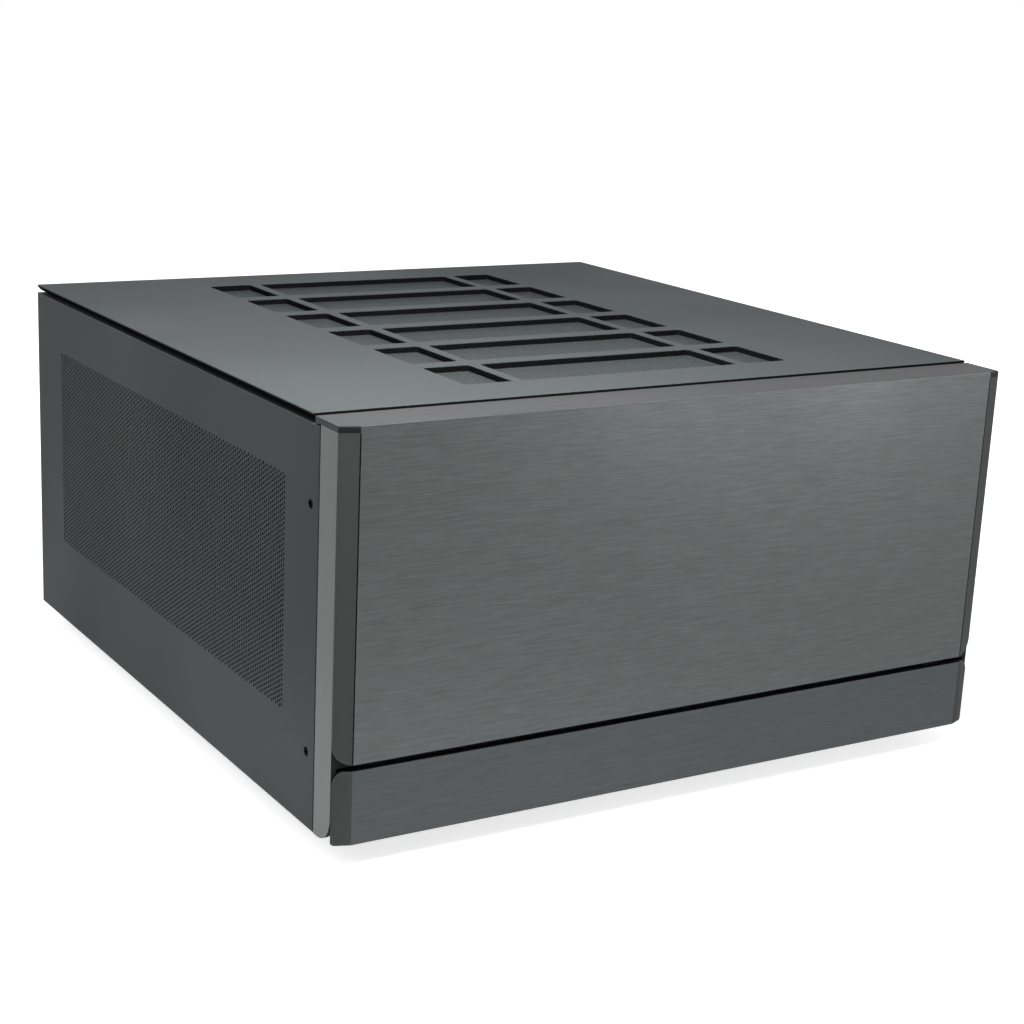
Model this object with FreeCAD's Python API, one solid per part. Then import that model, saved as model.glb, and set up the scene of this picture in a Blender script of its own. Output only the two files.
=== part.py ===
"""A desktop case for a living-room computer: a steel chassis under a windowed
aluminium cover, with a brushed front and a flip-down door over the sockets.

Millimetres. While it is drawn, x runs to the viewer's right, y runs back from
the front face and z runs up from the underside of the chassis. Each piece is
moved to the middle of the footprint, with the feet on z = 0, as it is saved.
"""
import FreeCAD, Part
import math
import os

os.makedirs("parts", exist_ok=True)
Vector = FreeCAD.Vector

# Overall sizes of the case
case_width = 440.0
case_depth = 462.0
case_height = 224.7
foot_height = 12.0

# Sheet and plate thicknesses
panel_sheet = 1.2
chassis_sheet = 1.0
front_plate = 4.5
top_plate = 3.3
cover_plate = 3.8
screen_sheet = 1.0
bezel_wall = 3.0

# Front: the bezel, the fixed fascia and the door below it
bezel_depth = 24.0
corner_width = 10.1
corner_depth = 3.8
door_height = 42.0
door_lift = 0.8
door_gap = 3.5
fascia_round = 10.0
door_top_round = 8.0
door_foot_round = 2.0
bezel_clearance = 0.3
cheek_round = 15.0
top_plate_depth = 30.6
top_plate_drop = 0.9
corner_reveal = 1.3

# Cover and its eighteen windows
cover_gap = 1.9
cover_bevel = 2.4
window_short = 30.0
window_rib = 7.3
window_cross_rib = 12.0
window_side_margin = 109.0
window_front_margin = 37.0
window_back_margin = 40.3
window_rows = 6
window_corner = 1.5
screen_rib = 6.0
long_window_slots = 4
short_window_slots = 1
screen_edge = 1.5
thumb_head = 6.0
thumb_width = 11.0
thumb_hole = 3.9
thumb_shank = 3.4
thumb_fold = 7.0
thumb_inset = 24.0

# Side panels and their perforated fields
panel_gap = 0.7
panel_drop = 5.3
panel_return = 6.2
field_front = 63.0
field_back_margin = 45.5
field_bottom = 54.0
field_top_margin = 36.4
field_columns = 13
field_rows = 4
field_open = 0.62
screw_inset = 9.6
screw_low = 42.5
screw_drop = 47.5

# Chassis
flange = 12.0
frame_fold = 6.0
frame_rib = 12.0
frame_screw_hole = 3.2
front_window_inset = 18.0
front_window_low = 5.0
front_window_high = 41.0
feet_inset = 45.0
feet_front = 66.0
feet_back = 52.0
foot_radius = 20.0
foot_skin = 3.0
foot_hole = 4.0
foot_screw = 2.0
foot_screw_head = 2.4
foot_screw_length = 8.0

# Rear panel: sockets of the main board, expansion slots and power supply
board_thickness = 1.57
standoff_height = 6.35
standoff_flats = 5.5
standoff_hole = 1.25
board_holes_wide = 281.94
board_holes_mid = 124.46
board_holes_deep = 227.33
board_holes_near = 154.94
board_gap = 16.5
board_hole_back = 16.0
io_width = 158.75
io_height = 44.45
io_lead = 3.25
io_drop = 3.81
slot_count = 7
slot_pitch = 20.32
slot_lead = 173.5
slot_opening = 14.0
slot_height = 105.0
slot_low = 13.0
slot_recess = 11.4
slot_cover_width = 18.4
slot_cover_sheet = 0.8
ledge_room = 18.0
slot_screw = 1.5
slot_screw_head = 2.0
slot_screw_length = 5.0
supply_width = 86.0
supply_height = 150.0
supply_inset = 12.0
supply_low = 8.0
supply_margin = 12.0
supply_edge = 6.0
supply_hole = 1.9
supply_step = 16.0
supply_far = 120.0
supply_depth = 150.0
pad_width = 10.0
pad_length = 130.0
pad_inset = 6.0
vent_columns = 5
vent_rows = 4
vent_pitch = 24.0
vent_flats = 16.0
vent_low = 78.0

# Drive cage
cage_inside = 102.4
cage_length = 132.0
cage_front = 46.0
cage_gap = 9.6
cage_bays = 3
cage_pitch = 33.0
cage_rail = 6.0
cage_rail_lift = 3.0
brace_width = 24.0
brace_drop = 12.0
brace_gap = 22.0

# Fans
fan_size = 120.0
fan_depth = 25.0
fan_rim = 2.0
fan_count = 3
fan_margin = 3.25
fan_hub = 20.0
fan_cup = 19.0
fan_blades = 7
blade_pitch = 40.0
blade_root = 15.0
blade_tip = 27.0
blade_sheet = 1.4
fan_pin = 1.5
running_gap = 0.05
fan_tip_gap = 0.5

# Door recess, its hinge and what is behind it
hinge_back = 16.8
hinge_height = 12.0
hinge_pin = 1.5
arm_thickness = 3.0
arm_eye = 3.6
arm_side_gap = 0.5
boss_length = 6.0
recess_lift = 1.0
recess_floor = 3.0
recess_lip_front = 12.0
recess_wall = 2.0
recess_inset = 17.0
socket_plate = 2.5
socket_board_height = 18.0
socket_board = 1.6
usb_width = 13.2
usb_height = 5.8
usb_length = 16.0
usb_shell = 0.4
usb_tongue = 1.9
jack_size = 7.0
jack_length = 13.0
jack_hole = 1.8
power_radius = 7.0
reset_radius = 2.5
button_gap = 0.25
button_travel = 1.0
button_flange = 1.5
button_proud = 1.2
button_stem = 3.0
button_sides = 16
power_inset = 45.0
reset_step = 24.0
lens_lead = 22.0
lens_step = 10.0
usb_inset = 53.0
usb_step = 24.0
jack_lead = 26.0
jack_step = 16.0
socket_board_margin = 15.0
socket_board_depth = 34.0
switch_board_margin = 9.0
switch_board_half = 8.0
rest_gap = 0.3
switch_reach = 5.4
switch_height = 2.6
switch_half = 3.0
lens_radius = 1.5
magnet_size = 12.0
magnet_height = 6.0
magnet_drop = 2.0
magnet_depth = 3.0
magnet_gap = 1.1
catch_sheet = 0.8
catch_margin = 1.0


def span(low, size):
    return (low, low + size)


def box(x, y, z):
    """A block between a low and a high value along each axis."""
    corner = Vector(x[0], y[0], z[0])
    return Part.makeBox(x[1] - x[0], y[1] - y[0], z[1] - z[0], corner)


def plan(u, v):
    return Vector(u, v, 0)


def front(u, v):
    return Vector(u, 0, v)


def side(u, v):
    return Vector(0, u, v)


AXIS = {plan: Vector(0, 0, 1), front: Vector(0, 1, 0), side: Vector(1, 0, 0)}


def outline(points, view):
    """A closed outline drawn in one view from corner points."""
    corners = [view(u, v) for u, v in points]
    return Part.makePolygon(corners + corners[:1])


def rounded(u, v, radii, view):
    """A rectangle whose corners have radii, from lower left and anticlockwise."""
    turn = 1 - math.sqrt(0.5)
    edges = []
    corners = [(u[0], v[0], 1, 1), (u[1], v[0], -1, 1), (u[1], v[1], -1, -1), (u[0], v[1], 1, -1)]
    stops = []
    for index, (cu, cv, su, sv) in enumerate(corners):
        r = radii[index]
        on_side = view(cu, cv + sv * r)
        on_base = view(cu + su * r, cv)
        middle = view(cu + su * r * turn, cv + sv * r * turn)
        first, last = (on_side, on_base) if index % 2 == 0 else (on_base, on_side)
        stops.append((first, middle, last, r))
    for index, (first, middle, last, r) in enumerate(stops):
        if r > 0:
            edges.append(Part.Arc(first, middle, last).toShape())
        edges.append(Part.makeLine(last, stops[(index + 1) % 4][0]))
    return Part.Wire(edges)


def rectangle(u, v, view):
    return outline([(u[0], v[0]), (u[1], v[0]), (u[1], v[1]), (u[0], v[1])], view)


def clipped(u, v, cut, view):
    """A rectangle with a small flat across each corner."""
    points = [
        (u[0] + cut, v[0]),
        (u[1] - cut, v[0]),
        (u[1], v[0] + cut),
        (u[1], v[1] - cut),
        (u[1] - cut, v[1]),
        (u[0] + cut, v[1]),
        (u[0], v[1] - cut),
        (u[0], v[0] + cut),
    ]
    return outline(points, view)


def ring(radius, centre, view):
    """A circle drawn in one view."""
    circle = Part.Circle(view(*centre), AXIS[view], radius)
    return Part.Wire([circle.toShape()])


def regular(sides, flats, centre, view):
    """A regular polygon given by the distance across its flats."""
    reach = flats / 2 / math.cos(math.pi / sides)
    points = []
    for index in range(sides):
        angle = (index + 0.5) * 2 * math.pi / sides
        points.append((centre[0] + reach * math.cos(angle), centre[1] + reach * math.sin(angle)))
    return outline(points, view)


def sheet(wires, view, low, high):
    """A flat plate with holes, between two levels along the view's axis."""
    face = Part.makeFace(wires, "Part::FaceMakerBullseye")
    face.translate(AXIS[view] * low)
    return face.extrude(AXIS[view] * (high - low))


def rod(radius, centre, view, low, high):
    return sheet([ring(radius, centre, view)], view, low, high)


def fused(pieces):
    return pieces[0].multiFuse(pieces[1:]).removeSplitter()


def mirrored(shape):
    return shape.mirror(Vector(0, 0, 0), Vector(1, 0, 0))


# Levels and faces that several pieces share
half_width = case_width / 2
cover_under = case_height - cover_plate
roof = cover_under - screen_sheet
frame_face = half_width - panel_return
frame_inside = frame_face - chassis_sheet
chassis_front = bezel_depth
panel_front = bezel_depth + panel_gap
rear_face = case_depth
rear_inside = rear_face - panel_sheet
floor_top = panel_sheet
cover_front = top_plate_depth + cover_gap
bezel_top = case_height - top_plate_drop - top_plate
fascia_bottom = door_height + door_gap
recess_top = door_height + bezel_clearance * 3
liner_back = rear_face + screen_sheet
overall_depth = liner_back + thumb_head
panel_top = case_height - panel_drop
screw_high = case_height - screw_drop
field_length = case_depth - field_front - field_back_margin
field_height = case_height - field_bottom - field_top_margin
fan_middle = field_front + field_length / 2
fan_centre_height = field_bottom + field_height / 2
fan_bay_pitch = (field_length + 2 * fan_margin) / fan_count
fan_bore = fan_size / 2 - fan_rim
window_front = cover_front + window_front_margin
window_pitch = (case_depth - window_back_margin - window_front + window_cross_rib) / window_rows
window_depth = window_pitch - window_cross_rib
window_long = case_width - 2 * (window_side_margin + window_short + window_rib)
feet_spread = case_width - 2 * feet_inset
front_window_width = case_width - 2 * front_window_inset
recess_half = half_width - recess_inset
supply_right = half_width - supply_inset
supply_left = supply_right - supply_width
board_hole_right = supply_left - board_gap
io_right = board_hole_right + io_lead
slot_first = board_hole_right - slot_lead
cage_left = supply_left - cage_gap - flange - chassis_sheet * 2 - cage_inside
brace_back = cage_front + cage_length + brace_gap
origin = Vector(0, -overall_depth / 2, foot_height)


def save(name, shape):
    """Moves one piece to the finished frame and writes its file."""
    placed = shape.copy()
    placed.translate(origin)
    if not placed.isValid():
        print("check the shape of", name)
    placed.exportStep("parts/" + name + ".step")


def save_pair(name, left):
    """Writes a piece for the left side and its mirror image for the right."""
    save("left_" + name, left)
    save("right_" + name, mirrored(left))


def screw(radius, head, length, centre, view, start, way):
    """A small screw: a six-sided head at start and a shank going the given way."""
    head_end = start + way * head
    shank_end = head_end + way * length
    cap = sheet([regular(6, radius * 3.4, centre, view)], view, min(start, head_end), max(start, head_end))
    shank = sheet([regular(6, radius * 1.8, centre, view)], view, min(head_end, shank_end), max(head_end, shank_end))
    return cap.fuse(shank)


# Chassis floor
def chassis_floor():
    """The floor sheet, with holes for the screws that hold the feet."""
    base = rectangle((-frame_face, frame_face), (chassis_front, rear_inside), plan)
    holes = [regular(6, foot_hole, centre, plan) for centre in feet_places()]
    return sheet([base] + holes, plan, 0, floor_top)


def feet_places():
    return [(x, y) for x in (-feet_spread / 2, feet_spread / 2) for y in (feet_front, case_depth - feet_back)]


# Side frames of the chassis
def side_frame():
    """The left inner wall, folded in at top and bottom, with three openings."""
    front_edge = chassis_front + panel_sheet
    wall = rectangle((front_edge, rear_inside), (floor_top, roof), side)
    openings = [frame_opening(y) for y in fan_bays()]
    plate = sheet([wall] + openings, side, -frame_face, -frame_inside)
    for height in (screw_low, screw_high):
        wire = regular(6, frame_screw_hole, (side_screw_y(), height), side)
        hole = sheet([wire], side, -frame_face - 1, -frame_inside + 1)
        plate = plate.cut(hole)
    fold = span(-frame_face, frame_fold)
    low = box(fold, (front_edge, rear_inside), span(floor_top, chassis_sheet))
    high = box(fold, (front_edge, rear_inside), (roof - chassis_sheet, roof))
    return fused([plate, low, high])


def side_screw_y():
    return panel_front + screw_inset


def fan_bays():
    """The y of the middle of each fan place on a side."""
    return [fan_middle + (index - (fan_count - 1) / 2) * fan_bay_pitch for index in range(fan_count)]


def frame_opening(middle):
    return regular(8, fan_bay_pitch - frame_rib, (middle, fan_centre_height), side)


# Front wall of the chassis
def front_wall():
    """The wall behind the bezel, open where the sockets and wires pass."""
    wall = rectangle((-frame_face, frame_face), (floor_top, roof), front)
    half = front_window_width / 2
    window = rectangle((-half, half), (front_window_low, front_window_high), front)
    plate = sheet([wall, window], front, chassis_front, chassis_front + panel_sheet)
    inner = frame_face - flange
    lip = box((-inner, inner), (chassis_front, chassis_front + flange), (roof - chassis_sheet, roof))
    return fused([plate, lip])


# Rear panel
def slot_centres():
    return [slot_first - index * slot_pitch for index in range(slot_count)]


def slot_region():
    """The x range of the recess that holds the expansion slots."""
    centres = slot_centres()
    return (centres[-1] - slot_pitch / 2 - 3, centres[0] + slot_pitch / 2 + 1)


def ledge_height():
    return slot_low + slot_height + 6


def supply_screws():
    """The four screw places of a power supply that stands on its side."""
    return [
        (supply_left + supply_edge, supply_low + supply_edge),
        (supply_left + supply_edge, supply_low + supply_height - supply_edge),
        (supply_right - supply_step, supply_low + supply_edge),
        (supply_right - supply_edge, supply_low + supply_far),
    ]


def io_low():
    return floor_top + standoff_height + board_thickness - io_drop


def rear_panel():
    """The back of the chassis with its openings, folded in at the top."""
    edge = frame_face - bezel_clearance
    wires = [rectangle((-edge, edge), (0, roof), front)]
    low = io_low()
    wires.append(rectangle((io_right - io_width, io_right), (low, low + io_height), front))
    recess = slot_region()
    wires.append(rectangle(recess, (slot_low - 5, ledge_height() + ledge_room), front))
    cutout_x = (supply_left + supply_margin, supply_right - supply_margin)
    cutout_z = (supply_low + supply_margin, supply_low + supply_height - supply_margin)
    wires.append(rectangle(cutout_x, cutout_z, front))
    for index, centre in enumerate(supply_screws()):
        round_hole = index < 2
        wires.append(ring(supply_hole, centre, front) if round_hole else regular(6, supply_hole * 2, centre, front))
    for x in thumb_places():
        wires.append(regular(6, thumb_hole, (x, thumb_height()), front))
    wires += vent_holes()
    panel = sheet(wires, front, rear_inside, rear_face)
    inner = frame_face - flange
    lip = box((-inner, inner), (rear_inside - flange, rear_face), (roof - chassis_sheet, roof))
    return fused([panel, lip])


def vent_holes():
    """Six-sided holes in staggered columns above the board's sockets."""
    holes = []
    left = io_right - io_width / 2 - (vent_columns - 1) * vent_pitch * 0.87 / 2
    for column in range(vent_columns):
        for row in range(vent_rows):
            x = left + column * vent_pitch * 0.87
            z = vent_low + (row + 0.5 * (column % 2)) * vent_pitch
            holes.append(regular(6, vent_flats, (x, z), front))
    return holes


def slot_frame():
    """The pressed recess behind the slots, with the ledge for their screws."""
    left, right = slot_region()
    low = slot_low - 5
    ledge = ledge_height()
    top = ledge + ledge_room
    back = rear_inside - slot_recess
    wires = [rectangle((left, right), (low, ledge), front)]
    for x in slot_centres():
        opening = (x - slot_opening / 2, x + slot_opening / 2)
        wires.append(rectangle(opening, (slot_low, slot_low + slot_height), front))
    face = sheet(wires, front, back, back + chassis_sheet)
    shelf_outline = rectangle((left, right), (back, rear_inside), plan)
    shelf_holes = [regular(4, 3.2, slot_screw_place(x), plan) for x in slot_centres()]
    shelf = sheet([shelf_outline] + shelf_holes, plan, ledge - chassis_sheet, ledge)
    walls = [
        box((left - chassis_sheet, left), (back, rear_inside), (low - chassis_sheet, top + chassis_sheet)),
        box((right, right + chassis_sheet), (back, rear_inside), (low - chassis_sheet, top + chassis_sheet)),
        box((left, right), (back, rear_inside), (top, top + chassis_sheet)),
        box((left, right), (back, rear_inside), (low - chassis_sheet, low)),
    ]
    return fused([face, shelf] + walls)


def slot_cover(x):
    """One slot's blank: a strip inside the frame with its tab on the ledge."""
    back = rear_inside - slot_recess
    ledge = ledge_height()
    half = slot_cover_width / 2
    strip = box((x - half, x + half), (back - slot_cover_sheet, back), (slot_low - 4, ledge + slot_cover_sheet))
    tab_wires = [
        rectangle((x - half, x + half), (back, rear_inside), plan),
        regular(6, 3.6, slot_screw_place(x), plan),
    ]
    tab = sheet(tab_wires, plan, ledge, ledge + slot_cover_sheet)
    return fused([strip, tab])


def slot_screw_place(x):
    return (x + slot_cover_width / 3, rear_inside - slot_recess / 2 + 1)


def slot_screws():
    """A screw through each blank's tab, heads up."""
    top = ledge_height() + slot_cover_sheet + slot_screw_head
    size = (slot_screw, slot_screw_head, slot_screw_length)
    return [screw(*size, slot_screw_place(x), plan, top, -1) for x in slot_centres()]


# Main board supports
def board_places():
    """The nine screw places of a full-size board, from its socket corner."""
    back = rear_inside - board_hole_back
    columns = [board_hole_right - x for x in (0, board_holes_mid, board_holes_wide)]
    rows = [back - y for y in (0, board_holes_near, board_holes_deep)]
    return [(x, y) for x in columns for y in rows]


def board_corners():
    columns = [x for x, y in board_places()]
    rows = [y for x, y in board_places()]
    return [(x, y) for x in (max(columns), min(columns)) for y in (max(rows), min(rows))]


def standoffs():
    """Six-sided pillars with a tapped hole, pressed on the floor."""
    pillars = []
    corners = board_corners()
    for centre in board_places():
        if centre in corners:
            hole = ring(standoff_hole, centre, plan)
        else:
            hole = regular(6, standoff_hole * 2, centre, plan)
        wires = [regular(6, standoff_flats, centre, plan), hole]
        pillars.append(sheet(wires, plan, floor_top, floor_top + standoff_height))
    return pillars


# Power supply rest
def supply_pads():
    """Two foam strips that the power supply stands on."""
    y = span(rear_inside - supply_depth, pad_length)
    strips = []
    for x in (supply_left + pad_inset, supply_right - supply_margin - pad_width):
        strips.append(box(span(x, pad_width), y, (floor_top, supply_low)))
    return strips


# Drive cage
def drive_cage():
    """A folded cage for three drives, open at the front and back."""
    left = cage_left
    right = cage_left + cage_inside + 2 * chassis_sheet
    y = span(cage_front, cage_length)
    top = floor_top + cage_bays * cage_pitch + chassis_sheet * 2
    pieces = [box((left, right), y, (top - chassis_sheet, top))]
    for wall, outward in ((left, -1), (right - chassis_sheet, 1)):
        plate = box(span(wall, chassis_sheet), y, (floor_top, top))
        pieces.append(plate)
        foot = (wall - flange, wall) if outward < 0 else (wall + chassis_sheet, wall + chassis_sheet + flange)
        pieces.append(box(foot, y, (floor_top, floor_top + chassis_sheet)))
        for bay in range(cage_bays):
            z = floor_top + chassis_sheet + bay * cage_pitch + cage_rail_lift
            rail = (wall + chassis_sheet, wall + chassis_sheet + cage_rail) if outward < 0 else (wall - cage_rail, wall)
            pieces.append(box(rail, (y[0] + 4, y[1] - 4), span(z, chassis_sheet)))
    return fused(pieces)


def cross_brace():
    """A channel across the top that keeps the side frames apart."""
    y = span(brace_back, brace_width)
    top = roof - chassis_sheet
    ends = frame_inside
    low = top - brace_drop
    pieces = [
        box((-ends, ends), y, (top - chassis_sheet, top)),
        box((-ends, ends), span(y[0], chassis_sheet), (low, top)),
        box((-ends, ends), (y[1] - chassis_sheet, y[1]), (low, top)),
    ]
    return fused(pieces)


# Fans
def fan_frame(x, y):
    """A square fan body with a round bore, four arms and a bearing seat."""
    z = fan_centre_height
    half = fan_size / 2
    outer = rectangle((y - half, y + half), (z - half, z + half), side)
    body = sheet([outer, regular(24, fan_bore * 2, (y, z), side)], side, x, x + fan_depth)
    bearing = regular(6, (fan_pin + running_gap) * 2, (y, z), side)
    seat = sheet([regular(14, fan_hub * 2, (y, z), side), bearing], side, x + fan_depth - 3, x + fan_depth)
    arms = []
    for turn in range(4):
        arm = box((x + fan_depth - 3, x + fan_depth), (y + fan_hub - 1, y + fan_bore + 1), (z - 2, z + 2))
        arm.rotate(Vector(0, y, z), Vector(1, 0, 0), 45 + 90 * turn)
        arms.append(arm)
    return fused([body, seat] + arms)


def fan_rotor(x, y):
    """The hub cup with its pitched blades and the pin it turns on."""
    z = fan_centre_height
    cup = sheet([regular(14, fan_cup * 2, (y, z), side)], side, x + 2, x + fan_depth - 4)
    pin = rod(fan_pin, (y, z), side, x + fan_depth - 4, x + fan_depth - 0.2)
    blades = []
    for index in range(fan_blades):
        blades.append(fan_blade_shape(x, y, z, index * 360 / fan_blades))
    return fused([cup, pin] + blades)


def fan_reach():
    """How far a blade's middle goes out, so that its corners clear the bore."""
    half_chord = blade_tip / 2
    return math.sqrt((fan_bore - fan_tip_gap) ** 2 - half_chord ** 2)


def fan_blade_shape(x, y, z, angle):
    """One blade, pitched to the air and wider at its tip than at the hub."""
    middle = x + (fan_depth - 2) / 2
    lean = math.radians(blade_pitch)
    chord = Vector(math.sin(lean), math.cos(lean), 0)
    thick = Vector(math.cos(lean), -math.sin(lean), 0) * blade_sheet
    root = Vector(middle, y, z + fan_cup - 1.5) - thick / 2
    tip = Vector(middle, y, z + fan_reach()) - thick / 2
    corners = [
        root - chord * (blade_root / 2),
        root + chord * (blade_root / 2),
        tip + chord * (blade_tip / 2),
        tip - chord * (blade_tip / 2),
    ]
    face = Part.makeFace([Part.makePolygon(corners + corners[:1])], "Part::FaceMakerBullseye")
    blade = face.extrude(thick)
    blade.rotate(Vector(x, y, z), Vector(1, 0, 0), angle)
    return blade


# Dust filters
def dust_filter():
    """The left filter: a mesh sheet in a raised rim, held on the frame."""
    margin = 4.0
    y = (field_front - margin, field_front + field_length + margin)
    z = (field_bottom - margin, field_bottom + field_height + margin)
    rim = [rectangle(y, z, side), rectangle((y[0] + 8, y[1] - 8), (z[0] + 8, z[1] - 8), side)]
    frame = sheet(rim, side, -frame_face - 2.4, -frame_face)
    mesh = box((-frame_face - 1.0, -frame_face - 0.4), (y[0] + 7, y[1] - 7), (z[0] + 7, z[1] - 7))
    return fused([frame, mesh])


# Side panels
def side_panel():
    """The left outer panel: perforated field, four folded edges, screw holes."""
    y = (panel_front, rear_face)
    z = (0, panel_top)
    wires = [rectangle(y, z, side)]
    pitch_y = field_length / field_columns
    pitch_z = field_height / field_rows
    open_y = pitch_y * field_open
    open_z = pitch_z * field_open
    for column in range(field_columns):
        for row in range(field_rows):
            y0 = field_front + column * pitch_y + (pitch_y - open_y) / 2
            z0 = field_bottom + row * pitch_z + (pitch_z - open_z) / 2
            wires.append(rectangle(span(y0, open_y), span(z0, open_z), side))
    for height in (screw_low, screw_high):
        wires.append(regular(8, 5.0, (side_screw_y(), height), side))
    plate = sheet(wires, side, -half_width, -half_width + panel_sheet)
    inner = (-half_width, -frame_face)
    fold = panel_sheet
    folds = [
        box(inner, (y[0], y[0] + fold), z),
        box(inner, (y[1] - fold, y[1]), z),
        box(inner, y, (z[0], z[0] + fold)),
        box(inner, y, (z[1] - fold, z[1])),
    ]
    return fused([plate] + folds)


def panel_screws():
    """The two countersunk screws near the panel's front edge."""
    pieces = []
    y = side_screw_y()
    for height in (screw_low, screw_high):
        centre = (y, height)
        head = sheet([regular(8, 4.8, centre, side)], side, -half_width, -half_width + panel_sheet)
        shank = sheet([regular(6, 2.8, centre, side)], side, -half_width + panel_sheet, -frame_inside + 2)
        pieces.append(head.fuse(shank))
    return pieces


# Cover
def window_columns():
    """The x range of the three windows in a row."""
    inner = window_long / 2
    outer = inner + window_rib
    return [(-outer - window_short, -outer), (-inner, inner), (outer, outer + window_short)]


def window_rows_y():
    return [span(window_front + row * window_pitch, window_depth) for row in range(window_rows)]


def top_cover():
    """The thick cover plate, bevelled inwards at its sides, with its windows."""
    wires = [rectangle((-half_width, half_width), (cover_front, rear_face), plan)]
    for y in window_rows_y():
        for x in window_columns():
            wires.append(clipped(x, y, window_corner, plan))
    plate = sheet(wires, plan, cover_under, case_height)
    cuts = []
    for way in (-1, 1):
        edge = [
            (way * half_width, case_height - 1.0),
            (way * (half_width + 1), case_height - 1.0),
            (way * (half_width + 1), cover_under - 1),
            (way * (half_width - cover_bevel), cover_under - 1),
            (way * (half_width - cover_bevel), cover_under),
        ]
        cuts.append(sheet([outline(edge, front)], front, cover_front - 1, rear_face + 1))
    for cut in cuts:
        plate = plate.cut(cut)
    return plate


def vent_screen():
    """The perforated sheet under the cover, folded down behind the rear panel."""
    edge = frame_face - screen_edge
    wires = [rectangle((-edge, edge), (cover_front + 3, liner_back), plan)]
    for y in window_rows_y():
        for index, x in enumerate(window_columns()):
            slots = long_window_slots if index == 1 else short_window_slots
            pitch = (x[1] - x[0]) / slots
            for slot in range(slots):
                left = x[0] + slot * pitch + screen_rib / 2
                gap = (left, left + pitch - screen_rib)
                wires.append(rectangle(gap, (y[0] + 4, y[1] - 4), plan))
    plate = sheet(wires, plan, roof, cover_under)
    tail_wires = [rectangle((-edge, edge), (thumb_height() - thumb_fold, cover_under), front)]
    for x in thumb_places():
        tail_wires.append(regular(6, thumb_hole, (x, thumb_height()), front))
    tail = sheet(tail_wires, front, rear_face, liner_back)
    return fused([plate, tail])


def thumb_places():
    return [thumb_inset - frame_face, 0, frame_face - thumb_inset]


def thumb_height():
    return roof - thumb_fold


def thumbscrews():
    """Three thumbscrews through the fold of the screen into the rear panel."""
    pieces = []
    for x in thumb_places():
        knob = sheet([regular(8, thumb_width, (x, thumb_height()), front)], front, liner_back, liner_back + thumb_head)
        shank = sheet([regular(6, thumb_shank, (x, thumb_height()), front)], front, rear_inside - 4, liner_back)
        pieces.append(knob.fuse(shank))
    return pieces


# Front
def corner_plan(rear):
    """The plan of the front plates: a flat front between two slanted corners."""
    return [
        (-half_width, rear),
        (-half_width, corner_depth),
        (-half_width + corner_width, 0),
        (half_width - corner_width, 0),
        (half_width, corner_depth),
        (half_width, rear),
    ]


def fascia():
    """The fixed front plate: corners slanted back and rounded at the foot."""
    top = case_height - top_plate_drop
    radii = (fascia_round, fascia_round, 0, 0)
    flat = rounded((-half_width, half_width), (fascia_bottom, top), radii, front)
    body = sheet([flat], front, 0, front_plate)
    body = body.common(sheet([outline(corner_plan(front_plate), plan)], plan, 0, case_height))
    notch = []
    for way in (-1, 1):
        x = sorted((way * (half_width - corner_width), way * (half_width + 1)))
        notch.append(box(x, (-1, front_plate + 1), (bezel_top, top + 1)))
    body = body.cut(notch[0]).cut(notch[1])
    return body.cut(box((-half_width, half_width), (top_front(), front_plate + 1), (bezel_top, top + 1)))


def top_front():
    """How far back from the front face the top plate's edge starts."""
    return 1.0


def bezel_top_plate():
    """The plate on top of the bezel, cut off at its two front corners."""
    reveal = corner_reveal
    points = [
        (-half_width, top_plate_depth),
        (-half_width, corner_depth + reveal),
        (-half_width + corner_width, reveal),
        (-half_width + corner_width, top_front()),
        (half_width - corner_width, top_front()),
        (half_width - corner_width, reveal),
        (half_width, corner_depth + reveal),
        (half_width, top_plate_depth),
    ]
    return sheet([outline(points, plan)], plan, bezel_top, case_height - top_plate_drop)


def door():
    """The flip-down door plate, rounded at its upper corners."""
    radii = (door_foot_round, door_foot_round, door_top_round, door_top_round)
    flat = rounded((-half_width, half_width), (door_lift, door_height), radii, front)
    body = sheet([flat], front, 0, front_plate)
    return body.common(sheet([outline(corner_plan(front_plate), plan)], plan, 0, case_height))


def cheek_outer():
    return half_width - bezel_wall


def arm_outer():
    return cheek_outer() - boss_length


def bezel_frame():
    """The moulded body of the front: cheeks, top wall, front wall and bosses."""
    face = front_plate + bezel_clearance
    outer = box((-half_width, half_width), (face, bezel_depth), (0, bezel_top))
    inner = cheek_outer()
    hollow = box((-inner, inner), (face + bezel_wall, bezel_depth + 1), (recess_top + bezel_wall, bezel_top - bezel_wall))
    recess = box((-inner, inner), (face - 1, bezel_depth + 1), (-1, recess_top))
    body = outer.cut(hollow).cut(recess)
    seats = box((-inner + 2, inner - 2), (front_plate, face), (fascia_bottom + fascia_round, bezel_top))
    bosses = [hinge_boss(-1), hinge_boss(1)]
    body = fused([body, seats] + bosses)
    return body.cut(cheek_corner())


def corner_insert():
    """The dark filler on the fascia's left corner, before the top plate."""
    back = corner_reveal - bezel_clearance
    points = [
        (-half_width, corner_depth),
        (-half_width + corner_width, 0),
        (-half_width + corner_width, back),
        (-half_width, corner_depth + back),
    ]
    return sheet([outline(points, plan)], plan, bezel_top, case_height - top_plate_drop - bezel_clearance)


def hinge_boss(way):
    """The round boss on a cheek's inner face that holds the door's pin."""
    inner = cheek_outer()
    centre = (hinge_back, hinge_height)
    wires = [regular(8, arm_eye * 2 + 2, centre, side), regular(6, hinge_pin * 2 + 0.04, centre, side)]
    x = sorted((way * inner, way * (inner - boss_length)))
    return sheet(wires, side, x[0], x[1])


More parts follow.
